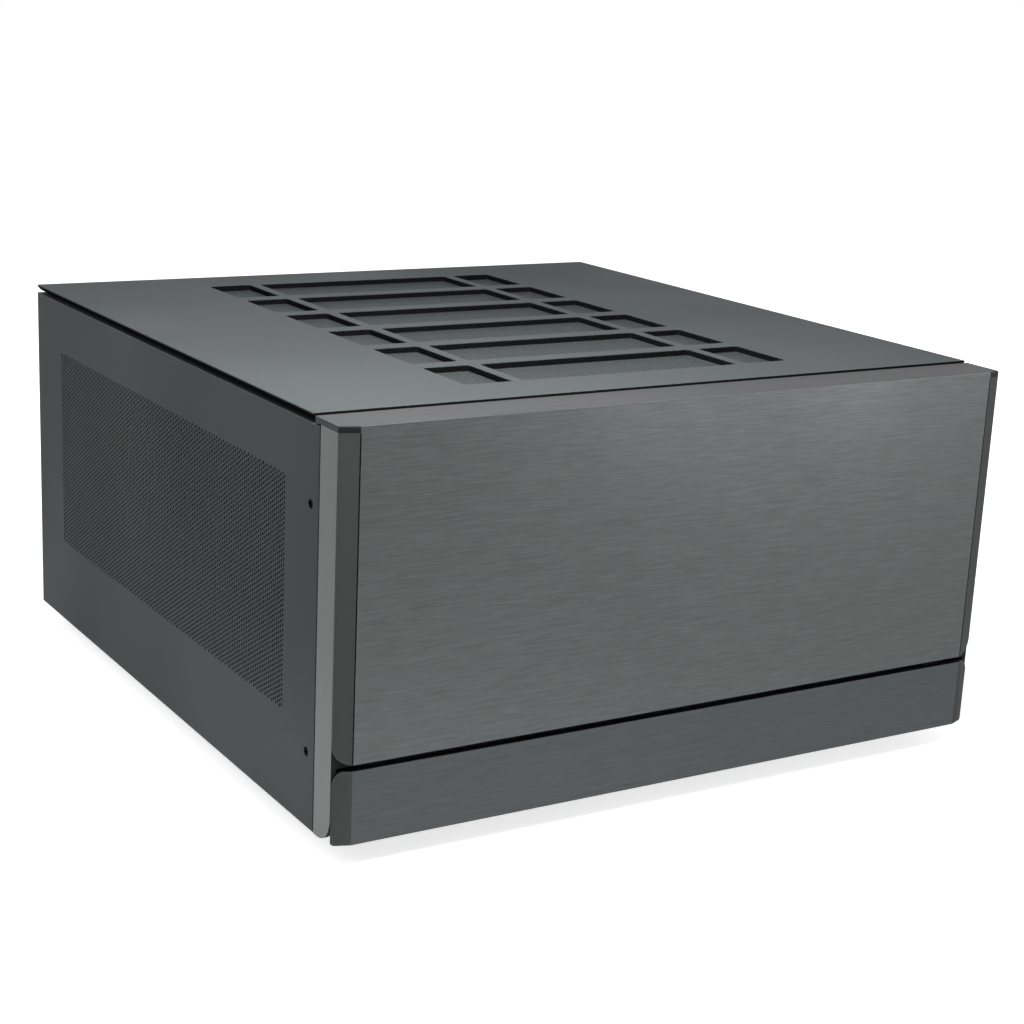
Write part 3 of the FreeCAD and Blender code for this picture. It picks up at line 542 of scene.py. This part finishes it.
def mirror_copy(piece, name):
    """A copy on the other side of the case, its faces turned back outwards."""
    fresh()
    twin = piece.copy()
    twin.data = piece.data.copy()
    twin.name = name
    bpy.context.collection.objects.link(twin)
    twin.data.transform(Matrix.Scale(-1, 4, Vector((1, 0, 0))))
    twin.data.flip_normals()
    return twin


def set_of(head, name, places, angle):
    """One piece made of copies of a head, each moved to its own place."""
    copies = []
    for place in places:
        twin = head.copy()
        twin.data = head.data.copy()
        bpy.context.collection.objects.link(twin)
        twin.data.transform(place)
        copies.append(twin)
    fresh()
    bpy.data.objects.remove(head)
    for twin in copies:
        twin.select_set(True)
    bpy.context.view_layer.objects.active = copies[0]
    bpy.ops.object.join()
    piece = bpy.context.object
    piece.name = name
    outward(piece)
    bpy.ops.object.shade_smooth_by_angle(angle=math.radians(angle))
    return piece


# %% [markdown]
# ## Perforated sheet
# Both sides and the screen under the cover have a field of small holes in a
# staggered pattern. Thousands of holes could be cut one by one, but that is
# slow and leaves a poor mesh. A grid whose every second column is moved by
# half a step already is that pattern. Once its quads are split along the
# short diagonal, each inner vertex has six neighbours, and a vertex bevel
# turns it into a six-sided face. Those faces are the holes.

# %% A field of holes
hole_pitch = 2.8 * mm
hole_reach = 1.0 * mm
column_step = hole_pitch * math.cos(math.radians(30))
largest_hole = 2.9 * hole_reach ** 2


def perforated(name, low, high, inside):
    """A flat sheet in the plane z = 0 with holes where inside(x, y) is true."""
    fresh()
    size = high - low
    columns = round(size.x / column_step)
    rows = round(size.y / hole_pitch)
    centre = Vector(((low.x + high.x) / 2, (low.y + high.y) / 2, 0))
    bpy.ops.mesh.primitive_grid_add(
        x_subdivisions=columns, y_subdivisions=rows, size=1, location=centre)
    piece = bpy.context.object
    piece.name = name
    piece.scale = (size.x, size.y, 1)
    bpy.ops.object.transform_apply(location=True, rotation=True, scale=True)
    bpy.ops.object.mode_set(mode="EDIT")
    step_x = size.x / columns
    step_y = size.y / rows
    rim = 0.5 * step_x
    last_row = high.y - 0.8 * step_y

    def inner(vertex):
        """True for every vertex that isn't on the field's rim."""
        x, y = vertex.co.x, vertex.co.y
        return low.x + rim < x < high.x - rim and low.y + rim < y < high.y - rim

    def hole(face):
        """True for a face that a vertex bevel has made."""
        columns_in = (face.calc_center_median().x - low.x) / step_x
        on_column = abs(columns_in - round(columns_in)) < 0.2
        return on_column and len(face.verts) >= 5 and face.calc_area() < largest_hole

    pick("VERT", lambda v: inner(v) and round((v.co.x - low.x) / step_x) % 2 == 1)
    bpy.ops.transform.translate(value=(0, step_y / 2, 0))
    bpy.ops.mesh.select_all(action="SELECT")
    bpy.ops.mesh.quads_convert_to_tris(quad_method="SHORTEST_DIAGONAL")
    count = pick("VERT", lambda v: inner(v) and v.co.y < last_row and inside(v.co.x, v.co.y))
    bpy.ops.mesh.bevel(offset=hole_reach, segments=1, affect="VERTICES")
    pick("FACE", hole)
    bpy.ops.mesh.delete(type="FACE")
    bpy.ops.object.mode_set(mode="OBJECT")
    print(name, count, "holes,", len(piece.data.polygons), "faces")
    return piece


print("hole pitch", hole_pitch, "column step", round(column_step, 6))

# %% [markdown]
# ## Side panels
# A side panel is sheet steel folded inwards on all four sides. It could be a
# thin box, but then its folds and its thickness in the holes would be
# missing. The field of holes comes first, lying flat. The plain sheet round
# it is filled between the field's rim, the outline and the two screw holes.
# The outline is then extruded for the folds, its edges are rounded, and the
# whole sheet gets its thickness and is stood up.

# %% Field of the side panel
panel_low, panel_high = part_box("left_side_panel")
screw_holes = [(at(0, 34.3, 0).y, at(0, 0, height).z) for height in (42.5, 177.2)]
field_low = Vector((at(0, 63, 0).y, at(0, 0, 54).z))
field_high = Vector((at(0, 416.5, 0).y, at(0, 0, 188.3).z))
outline_low = Vector((panel_low.y + 0.4 * mm, panel_low.z, 0))
outline_high = Vector((panel_high.y, panel_high.z, 0))
left_panel = perforated("side_panel_left", field_low, field_high, lambda x, y: True)

# %% Plain sheet round the field
screw_hole_radius = 2.65 * mm
aside = Vector((0, 0, 20 * mm))


def on_lines(edge, low, high):
    """True where an edge lies on one of the four lines of a rectangle."""
    place = middle(edge)
    near_x = min(abs(place.x - low.x), abs(place.x - high.x)) < touch
    near_y = min(abs(place.y - low.y), abs(place.y - high.y)) < touch
    return near_x or near_y


def to_fill(edge):
    """True for the loose loops and for the rim of the field."""
    faces = len(edge.link_faces)
    return faces == 0 or (faces == 1 and on_lines(edge, field_low, field_high))


bpy.ops.object.mode_set(mode="EDIT")
bpy.ops.mesh.primitive_plane_add(size=1, location=aside)
outline_size = outline_high - outline_low
bpy.ops.transform.resize(value=(outline_size.x, outline_size.y, 1))
bpy.ops.mesh.delete(type="ONLY_FACE")
pick("VERT", lambda v: v.co.z > aside.z / 2)
bpy.ops.transform.translate(value=((outline_low + outline_high) / 2 - aside))
for y, z in screw_holes:
    bpy.ops.mesh.select_all(action="DESELECT")
    bpy.ops.mesh.primitive_circle_add(vertices=24, radius=screw_hole_radius, location=(y, z, 0))
print("edges to fill", pick("EDGE", to_fill))
bpy.ops.mesh.fill(use_beauty=True)
face_up(left_panel)

# %% Folds and thickness
fold_depth = panel_high.x - panel_low.x
fold_radius = 0.5 * mm
panel_sheet = 1.2 * mm


def on_outline(edge):
    """True for the outline's edges in the sheet's own plane."""
    return on_lines(edge, outline_low, outline_high) and abs(middle(edge).z) < touch


pick("EDGE", lambda e: on_outline(e) and len(e.link_faces) == 1)
bpy.ops.mesh.extrude_edges_move(TRANSFORM_OT_translate={"value": (0, 0, -fold_depth)})
pick("EDGE", on_outline)
bpy.ops.mesh.bevel(offset=fold_radius, segments=3, affect="EDGES")
bpy.ops.object.mode_set(mode="OBJECT")
modify(left_panel, "SOLIDIFY", thickness=panel_sheet, offset=-1)
stand_up = Matrix(((0, 0, -1, panel_low.x), (1, 0, 0, 0), (0, 1, 0, 0), (0, 0, 0, 1)))
left_panel.data.transform(stand_up)
left_panel.data.flip_normals()
for corner in (0, 6):
    print("panel corner", [round(v, 4) for v in left_panel.bound_box[corner]])

# %% [markdown]
# The right panel is the same pressing seen in a mirror. It could be modelled
# again, but a mirrored copy can't come out different.

# %% Both side panels
right_panel = mirror_copy(left_panel, "side_panel_right")
dress(left_panel, side_paint, "case", "left_side_panel")
dress(right_panel, side_paint, "case", "right_side_panel")
print("side panels", len(left_panel.data.polygons), "faces each")

# %% [markdown]
# ## Screws
# Two countersunk screws hold each side panel. A plain disc would do from far
# away, but the head's sloping rim and its socket show from near. So the head
# is a disc whose outer ring is drawn back, its socket is an inset face
# pushed in, and its shank is an inset face drawn out behind.

# %% One countersunk head
head_radius = 2.55 * mm
head_depth = 1.4 * mm
head_proud = 0.05 * mm
socket_depth = 1.0 * mm
rim_drop = 0.25 * mm
shank_length = 7.0 * mm
fresh()
bpy.ops.mesh.primitive_cylinder_add(
    vertices=36, radius=head_radius, depth=head_depth, location=(0, 0, -head_depth / 2))
head = bpy.context.object
bpy.ops.object.transform_apply(location=True, rotation=True, scale=True)
bpy.ops.object.mode_set(mode="EDIT")
pick("FACE", lambda f: f.normal.z > 0.9)
bpy.ops.mesh.inset(thickness=head_radius * 0.1)
bpy.ops.mesh.inset(thickness=head_radius * 0.42)
extrude(-socket_depth)
pick("VERT", lambda v: v.co.z > -touch and v.co.xy.length > head_radius * 0.95)
bpy.ops.transform.translate(value=(0, 0, -rim_drop))
pick("FACE", lambda f: f.normal.z < -0.9 and f.calc_center_median().z < -head_depth * 0.9)
bpy.ops.mesh.inset(thickness=head_radius * 0.42)
extrude(-shank_length)
bpy.ops.object.mode_set(mode="OBJECT")
print("head", len(head.data.polygons), "faces")

# %% Screws of both side panels
face_left = Matrix(((0, 0, -1, 0), (1, 0, 0, 0), (0, 1, 0, 0), (0, 0, 0, 1)))
head_x = -half_width + head_proud
screw_places = [Matrix.Translation((head_x, y, z)) @ face_left for y, z in screw_holes]
left_screws = set_of(head, "panel_screws_left", screw_places, 30)
dress(left_screws, black_steel, "case", "left_panel_screws")
right_screws = mirror_copy(left_screws, "panel_screws_right")
dress(right_screws, black_steel, "case", "right_panel_screws")
print("screws", len(left_screws.data.polygons), "faces each side")

# %% [markdown]
# ## Cover
# The cover is a thick plate with eighteen windows. The windows could be cut
# out with Boolean modifiers, but drawn as edge loops they keep clean rounded
# corners. The outline and the windows are loops, a vertex bevel rounds the
# windows' corners, and one fill closes the plate between them. It is extruded
# in two steps, so that its side edges can slope in under the top face.

# %% Outline and windows
cover_low, cover_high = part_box("top_cover")
window_columns = [(-111.0, -81.0), (-73.7, 73.7), (81.0, 111.0)]
first_window = 69.5
window_pitch = 60.7
window_length = 48.7
window_starts = [first_window + row * window_pitch for row in range(6)]
window_rows = [(start, start + window_length) for start in window_starts]
window_radius = 2.2 * mm
fresh()
bpy.ops.mesh.primitive_plane_add(size=1, location=(0, 0, 0))
cover = bpy.context.object
cover.name = "cover_plate"
bpy.ops.object.mode_set(mode="EDIT")
bpy.ops.transform.resize(value=(cover_high.x - cover_low.x, cover_high.y - cover_low.y, 1))
bpy.ops.transform.translate(value=(0, (cover_high.y + cover_low.y) / 2, cover_high.z))
bpy.ops.mesh.delete(type="ONLY_FACE")
for near, far in window_rows:
    for left_edge, right_edge in window_columns:
        place = (at(left_edge, near, 0) + at(right_edge, far, 0)) / 2
        bpy.ops.mesh.select_all(action="DESELECT")
        bpy.ops.mesh.primitive_plane_add(size=1, location=(0, 0, 0))
        bpy.ops.transform.resize(value=((right_edge - left_edge) * mm, (far - near) * mm, 1))
        bpy.ops.transform.translate(value=(place.x, place.y, cover_high.z))
        bpy.ops.mesh.bevel(offset=window_radius, segments=5, affect="VERTICES")
        bpy.ops.mesh.delete(type="ONLY_FACE")
bpy.ops.mesh.select_all(action="SELECT")
bpy.ops.mesh.fill(use_beauty=True)
print("cover faces", len(bmesh.from_edit_mesh(cover.data).faces))

# %% Thickness and sloping sides
upright_edge = 1.0 * mm
side_slope = 2.4 * mm
bpy.ops.mesh.select_all(action="SELECT")
bpy.ops.mesh.normals_make_consistent(inside=False)
extrude(-upright_edge)
extrude(cover_low.z - cover_high.z + upright_edge)
for way in (-1, 1):
    pick("VERT", lambda v: v.co.z < cover_low.z + touch and way * v.co.x > half_width - touch)
    bpy.ops.transform.translate(value=(-way * side_slope, 0, 0))
bpy.ops.object.mode_set(mode="OBJECT")
outward(cover)
soften(cover, 0.35 * mm)
dress(cover, cover_paint, "case", "top_cover")
print("cover", len(cover.data.polygons), "faces")

# %% [markdown]
# The walls of the windows and the gaps along the cover's edges are deep and
# narrow, and lie in shade, so the real ones look black. The lamps could be moved
# until they are, but that would darken the plates too. So these faces, found by
# where they look and lie, get a near-black colour that is painted shade.

# %% Painted shade on the cover's walls and edge gaps
# Window walls, the front edge in the gap and the faces under the sloping sides get painted shade.
cover.data.materials.append(painted_shade_black)
window_edge = 112 * mm
first_wall = at(0, 60, 0).y
last_wall = at(0, 425, 0).y
slope_reach = 3 * mm
shaded = 0
for face in cover.data.polygons:
    upright = abs(face.normal.z) < 0.3
    in_windows = abs(face.center.x) < window_edge and first_wall < face.center.y < last_wall
    front_edge = face.normal.y < -0.7 and face.center.y < cover_low.y + mm
    under_edge = face.normal.z < -0.2 and abs(face.center.x) > half_width - slope_reach
    face.material_index = 1 if (upright and in_windows) or front_edge or under_edge else 0
    shaded += face.material_index
print("shaded faces", shaded)

# %% [markdown]
# ## Screen under the cover
# The floor of every window is one perforated sheet. It could be one mesh, but
# with all its holes that would be heavy. It is made as six strips that meet
# under the cover's ribs, so that each stays light.

# %% Screen strips
screen_low, screen_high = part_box("vent_screen")
screen_top = at(0, 0, 220.9).z
screen_sheet = 1.0 * mm
strip_half = 114 * mm
strip_margin = 6.0
hole_clear = 1.2


def under_window(x, y):
    """True where a hole lies in a window, clear of its edge."""
    for left_edge, right_edge in window_columns:
        if left_edge + hole_clear < x / mm < right_edge - hole_clear:
            for near, far in window_rows:
                if near + hole_clear < (y - front_face) / mm < far - hole_clear:
                    return True
    return False


for row, (near, far) in enumerate(window_rows):
    low = Vector((-strip_half, at(0, near - strip_margin, 0).y))
    high = Vector((strip_half, at(0, far + strip_margin, 0).y))
    strip = perforated("screen_strip_" + str(row + 1), low, high, under_window)
    bpy.ops.object.mode_set(mode="EDIT")
    face_up(strip)
    bpy.ops.transform.translate(value=(0, 0, screen_top))
    bpy.ops.object.mode_set(mode="OBJECT")
    modify(strip, "SOLIDIFY", thickness=screen_sheet, offset=-1)
    dress(strip, cover_paint, "case", "vent_screen")

# %% [markdown]
# A plain surround goes round the strips, with the fold at the back that the
# thumbscrews hold. It could be filled like the side panel, but it has no
# small holes, so five bars joined into one sheet are simpler.

# %% Surround of the screen
screen_back = at(0, 463, 0).y
fold_front = at(0, 462, 0).y
strips_front = at(0, 63.5, 0).y
strips_back = at(0, 427.7, 0).y
sheet_low = screen_top - screen_sheet
fold_low = at(0, 0, 205.9).z
bars = []
for x_low, x_high, y_low, y_high, z_low in (
    (screen_low.x, -strip_half, screen_low.y, screen_back, sheet_low),
    (strip_half, screen_high.x, screen_low.y, screen_back, sheet_low),
    (-strip_half, strip_half, screen_low.y, strips_front, sheet_low),
    (-strip_half, strip_half, strips_back, screen_back, sheet_low),
    (screen_low.x, screen_high.x, fold_front, screen_back, fold_low),
):
    low = Vector((x_low, y_low, z_low))
    bars.append(block("bar", low, Vector((x_high, y_high, screen_top))))
surround = bars[0]
surround.name = "screen_surround"
for bar in bars[1:]:
    modify(surround, "BOOLEAN", object=bar, operation="UNION", solver="EXACT")
    bpy.data.objects.remove(bar)
soften(surround, 0.25 * mm)
dress(surround, cover_paint, "case", "vent_screen")
print("surround", len(surround.data.polygons), "faces")

# %% [markdown]
# ## Front plate and door
# Both are thick brushed plates whose ends slant back. They could be drawn as
# an outline and extruded, but then the corners would come after the slant.
# On the real plate the slant runs through the rounded corner. So each starts
# as a block, an edge bevel rounds its corners as seen from the front, and a
# slanted cut then takes off each end.

# %% Slanted plates
slant_width = 10.1 * mm
slant_depth = 3.8 * mm
crease_x = half_width - slant_width


def slant_ends(front):
    """In edit mode, cuts both ends at a slant that starts at a front face."""
    for way in (-1, 1):
        bpy.ops.mesh.select_all(action="SELECT")
        foot = Vector((way * crease_x, front, 0))
        normal = Vector((way * slant_depth, -slant_width, 0)).normalized()
        bpy.ops.mesh.bisect(plane_co=foot, plane_no=normal, use_fill=True, clear_outer=True)


def slanted_plate(name, low, high, corner_rounds):
    """A plate with rounded corners and slanted ends, still sharp elsewhere."""
    piece = block(name, low, high)
    bpy.ops.object.mode_set(mode="EDIT")
    for height, radius, segments in corner_rounds:
        pick("EDGE", lambda e: runs(e, 1) and abs(middle(e).z - height) < 2 * touch)
        bpy.ops.mesh.bevel(offset=radius, segments=segments, affect="EDGES")
    slant_ends(low.y)
    bpy.ops.object.mode_set(mode="OBJECT")
    outward(piece)
    return piece


def shade_slanted_ends(piece):
    """Gives the slanted ends a smoother finish, darker as painted shade."""
    piece.data.materials.append(slanted)
    for face in piece.data.polygons:
        if abs(face.normal.x) > 0.25 and abs(face.center.x) > crease_x:
            face.material_index = 1


print("crease", round(crease_x, 4))

# %% [markdown]
# The front plate has three cuts more. Its upper corners are taken out for
# the corner fillers, its top edge steps back behind the bezel's plate, and a
# fine groove runs down each crease. The creases could be left to the shading,
# but on the real plate they are a thin black line, so the groove is cut and its
# inner faces get a near-black painted shade.

# %% Front plate
fascia_low, fascia_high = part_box("front_fascia")
bezel_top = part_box("bezel_top_plate")[0].z
past = 1.0 * mm
step_depth = 1.0 * mm
groove_half = 0.35 * mm
groove_depth = 0.5 * mm
groove_end = 0.2 * mm
fascia = slanted_plate("fascia_plate", fascia_low, fascia_high, [(fascia_low.z, 10 * mm, 8)])
top_corner = Vector((0, fascia_high.y + past, fascia_high.z + past))
for way in (-1, 1):
    x_low, x_high = sorted((way * crease_x, way * (half_width + past)))
    low = Vector((x_low, fascia_low.y - past, bezel_top))
    cut(fascia, low, top_corner + Vector((x_high, 0, 0)))
low = Vector((-half_width, fascia_low.y + step_depth, bezel_top))
cut(fascia, low, top_corner + Vector((half_width, 0, 0)))
for way in (-1, 1):
    x = way * crease_x
    low = Vector((x - groove_half, front_face - past, fascia_low.z - past))
    cut(fascia, low, Vector((x + groove_half, front_face + groove_depth, bezel_top - groove_end)))
soften(fascia, 0.25 * mm, angle=40)
dress(fascia, brushed, "case", "front_fascia")
shade_slanted_ends(fascia)
print("fascia", len(fascia.data.polygons), "faces")

# %% Painted shade in the creases
crease_reach = 0.4 * mm
# The groove's faces behind the front get a near-black colour, which is painted shade.
fascia.data.materials.append(painted_shade_black)
crease_shade_faces = 0
for face in fascia.data.polygons:
    near_crease = abs(abs(face.center.x) - crease_x) < crease_reach
    behind_front = face.center.y > front_face + touch
    if near_crease and behind_front and face.center.z < bezel_top:
        face.material_index = 2
        crease_shade_faces += 1
print("crease faces", crease_shade_faces)

# %% [markdown]
# The door is the same kind of plate. Its upper corners are well rounded and
# its lower ones hardly, and all its edges are softer than the front plate's,
# because a hand takes hold of them.

# %% Door
door_low, door_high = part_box("door")
door_rounds = [(door_high.z, 8 * mm, 8), (door_low.z, 2 * mm, 4)]
door_piece = slanted_plate("door_plate", door_low, door_high, door_rounds)
soften(door_piece, 0.6 * mm, segments=3, angle=30)
dress(door_piece, door_brushed, "door", "door")
shade_slanted_ends(door_piece)
print("door", len(door_piece.data.polygons), "faces")

# %% [markdown]
# The bezel's top plate closes the front above. Its ends follow the front
# plate's, a little behind them, so the same slanted cuts make it from a
# block. Its rear face stands in the gap before the cover, where shade falls,
# and gets a near-black painted shade.

# %% Bezel top plate
plate_setback = 1.3 * mm
top_low, top_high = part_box("bezel_top_plate")
top_piece = block("bezel_top", top_low, top_high)
bpy.ops.object.mode_set(mode="EDIT")
slant_ends(front_face + plate_setback)
bpy.ops.object.mode_set(mode="OBJECT")
outward(top_piece)
soften(top_piece, 0.3 * mm, angle=12)
dress(top_piece, plate, "case", "bezel_top_plate")
# The rear face, in the gap before the cover, gets a near-black painted shade.
top_piece.data.materials.append(painted_shade_black)
for face in top_piece.data.polygons:
    face.material_index = 1 if face.normal.y > 0.7 else 0
print("bezel top", len(top_piece.data.polygons), "faces")

# %% [markdown]
# ## Pieces kept from the model
# The folded and moulded pieces already have their right shape. They could be
# modelled again, but nothing would be gained. Each is copied, its loose
# triangles are merged, the flat faces are cleared of inner edges, and every
# edge gets a small rounding, as a press or a mould leaves it.

# %% Rounded copies


def rounded_copy(node, material, body, width):
    """A copy of a model piece with its edges lightly rounded."""
    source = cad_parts[node]
    piece = source.copy()
    piece.data = source.data.copy()
    piece.parent = None
    piece.matrix_world = Matrix.Identity(4)
    piece.name = node + "_finished"
    bpy.context.collection.objects.link(piece)
    take(piece)
    bpy.ops.object.mode_set(mode="EDIT")
    bpy.ops.mesh.select_all(action="SELECT")
    bpy.ops.mesh.remove_doubles(threshold=0.002 * mm)
    bpy.ops.mesh.dissolve_limited(angle_limit=math.radians(0.5))
    bpy.ops.object.mode_set(mode="OBJECT")
    soften(piece, width, angle=40)
    dress(piece, material, body, node)
    return piece


kept = [
    ("rear_panel", powder, "case", 0.15),
    ("slot_frame", powder, "case", 0.15),
    ("chassis_floor", powder, "case", 0.2),
    ("front_wall", powder, "case", 0.2),
    ("left_side_frame", inner_coat, "case", 0.15),
    ("right_side_frame", inner_coat, "case", 0.15),
    ("drive_cage", powder, "case", 0.15),
    ("cross_brace", powder, "case", 0.15),
    ("socket_panel", powder, "case", 0.2),
    ("fan_frame", black, "case", 0.4),
    ("fan_rotor", black, "fan_rotor", 0.2),
    ("left_dust_filter", mesh_black, "case", 0.1),
    ("right_dust_filter", mesh_black, "case", 0.1),
    ("supply_pads", rubber, "case", 0.3),
    ("socket_board", mask, "case", 0.1),
    ("switch_board", mask, "case", 0.1),
    ("left_hinge_arm", zinc, "door", 0.15),
    ("right_hinge_arm", zinc, "door", 0.15),
    ("door_catches", zinc, "door", 0.1),
    ("door_magnets", nickel, "case", 0.15),
    ("board_standoffs", brass, "case", 0.1),
    ("slot_screws", zinc, "case", 0.1),
    ("foot_screws", zinc, "case", 0.1),
    ("usb_socket_1", nickel, "case", 0.05),
    ("usb_socket_2", nickel, "case", 0.05),
    ("audio_jacks", nickel, "case", 0.1),
]
kept += [("slot_cover_" + str(number), zinc, "case", 0.12) for number in range(1, 8)]
for node, material, body, width in kept:
    rounded_copy(node, material, body, width * mm)
print("rounded copies", len(kept))

# %% [markdown]
# The bezel's body is a black moulding, and only the outer faces of its two
# cheeks have the satin grey of the front. They could be pieces of their own,
# but it is one moulding, so the copy takes both materials, and the faces are
# told apart by where they look.

# %% Bezel body
cheek_reach = 0.4 * mm
bezel = rounded_copy("bezel_frame", black, "case", 0.3 * mm)
bezel.data.materials.append(cheek)
for face in bezel.data.polygons:
    outer = abs(face.normal.x) > 0.6 and abs(face.center.x) > half_width - cheek_reach
    face.material_index = 1 if outer else 0
print("bezel body", len(bezel.data.polygons), "faces")

# %% [markdown]
# ## Feet
# A rubber foot is turned: a disc with a rounded rim and a shallow dish
# underneath, where its screw is. A profile could be spun round, but a disc
# with two insets pushed in gives the same shape with fewer steps.

# %% Feet
dish_rim = 0.3
dish_depth = 2.0 * mm
screw_rim = 0.42
screw_depth = 3.0 * mm
top_taper = 0.93
for node in ("foot_front_left", "foot_back_left", "foot_front_right", "foot_back_right"):
    low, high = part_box(node)
    centre = (low + high) / 2
    radius = (high.y - low.y) / 2
    fresh()
    bpy.ops.mesh.primitive_cylinder_add(
        vertices=72, radius=radius, depth=high.z - low.z, location=centre)
    foot = bpy.context.object
    foot.name = node + "_turned"
    bpy.ops.object.transform_apply(location=True, rotation=True, scale=True)
    bpy.ops.object.mode_set(mode="EDIT")
    pick("FACE", lambda f: f.normal.z < -0.9)
    bpy.ops.mesh.inset(thickness=radius * dish_rim)
    extrude(dish_depth)
    bpy.ops.mesh.inset(thickness=radius * screw_rim)
    extrude(screw_depth)
    pick("VERT", lambda v: v.co.z > high.z - touch)
    bpy.ops.transform.resize(value=(top_taper, top_taper, 1), center_override=centre)
    bpy.ops.object.mode_set(mode="OBJECT")
    soften(foot, 0.8 * mm, segments=3)
    dress(foot, rubber, "case", node)
    print(node, round(2 * radius, 4), "wide")

# %% [markdown]
# ## Thumbscrews
# Three thumbscrews hold the cover at the back. A head could be a plain
# cylinder, but its ridged band is what the fingers hold. It is built up from
# a disc by extrusions: a collar, a band and a sloping rim with a dished end.
# Then every second corner of the band is drawn in a little, and the grip has
# its ridges. One head is modelled and copied to the three places.

# %% One thumbscrew head
thumb_low, thumb_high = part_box("thumbscrews")
thumb_radius = (thumb_high.z - thumb_low.z) / 2
thumb_length = thumb_high.y - screen_back
collar_radius = thumb_radius * 0.86
ridges = 30
ridge_depth = 0.93
fresh()
bpy.ops.mesh.primitive_circle_add(vertices=2 * ridges, radius=collar_radius, fill_type="NGON")
thumb_head = bpy.context.object
bpy.ops.object.mode_set(mode="EDIT")
bpy.ops.mesh.select_all(action="SELECT")
extrude(thumb_length * 0.15)
extrude(0)
grow = thumb_radius / collar_radius
bpy.ops.transform.resize(value=(grow, grow, 1))
extrude(thumb_length * 0.75)
extrude(thumb_length * 0.1)
bpy.ops.transform.resize(value=(0.9, 0.9, 1))
bpy.ops.mesh.inset(thickness=thumb_radius * 0.3)
extrude(-thumb_length * 0.15)
bpy.ops.mesh.inset(thickness=thumb_radius * 0.25)


def ridge(vertex):
    """True for every second corner of the band."""
    step = math.atan2(vertex.co.y, vertex.co.x) * ridges / math.pi
    return vertex.co.xy.length > thumb_radius * 0.98 and round(step) % 2 == 0


print("ridge corners", pick("VERT", ridge))
bpy.ops.transform.resize(value=(ridge_depth, ridge_depth, 1))
bpy.ops.object.mode_set(mode="OBJECT")

# %% Three thumbscrews
thumb_reach = thumb_high.x - thumb_radius
thumb_height = (thumb_low.z + thumb_high.z) / 2
face_back = Matrix(((-1, 0, 0, 0), (0, 0, 1, 0), (0, 1, 0, 0), (0, 0, 0, 1)))
thumb_places = [
    Matrix.Translation((x, screen_back, thumb_height)) @ face_back
    for x in (-thumb_reach, 0, thumb_reach)
]
thumbs = set_of(thumb_head, "thumbscrew_heads", thumb_places, 20)
dress(thumbs, zinc, "case", "thumbscrews")
print("thumbscrews", len(thumbs.data.polygons), "faces")

# %% [markdown]
# ## Small parts of the front
# The two buttons, the lamp lenses, the hinge pins and the fillers at the
# front plate's upper corners are turned or moulded. Their shapes come from
# the model, and like the folded pieces they get a rounding and their own
# finish. The buttons ride their own bodies, because they are pressed.

# %% Small parts
small_parts = [
    ("left_corner_insert", black, "case", 0.15),
    ("right_corner_insert", black, "case", 0.15),
    ("hinge_pins", zinc, "case", 0.2),
    ("power_button", cheek, "power_button", 0.6),
    ("reset_button", cheek, "reset_button", 0.25),
    ("led_lenses", lens, "case", 0.2),
]
for node, material, body, width in small_parts:
    rounded_copy(node, material, body, width * mm)
print("small parts", len(small_parts))
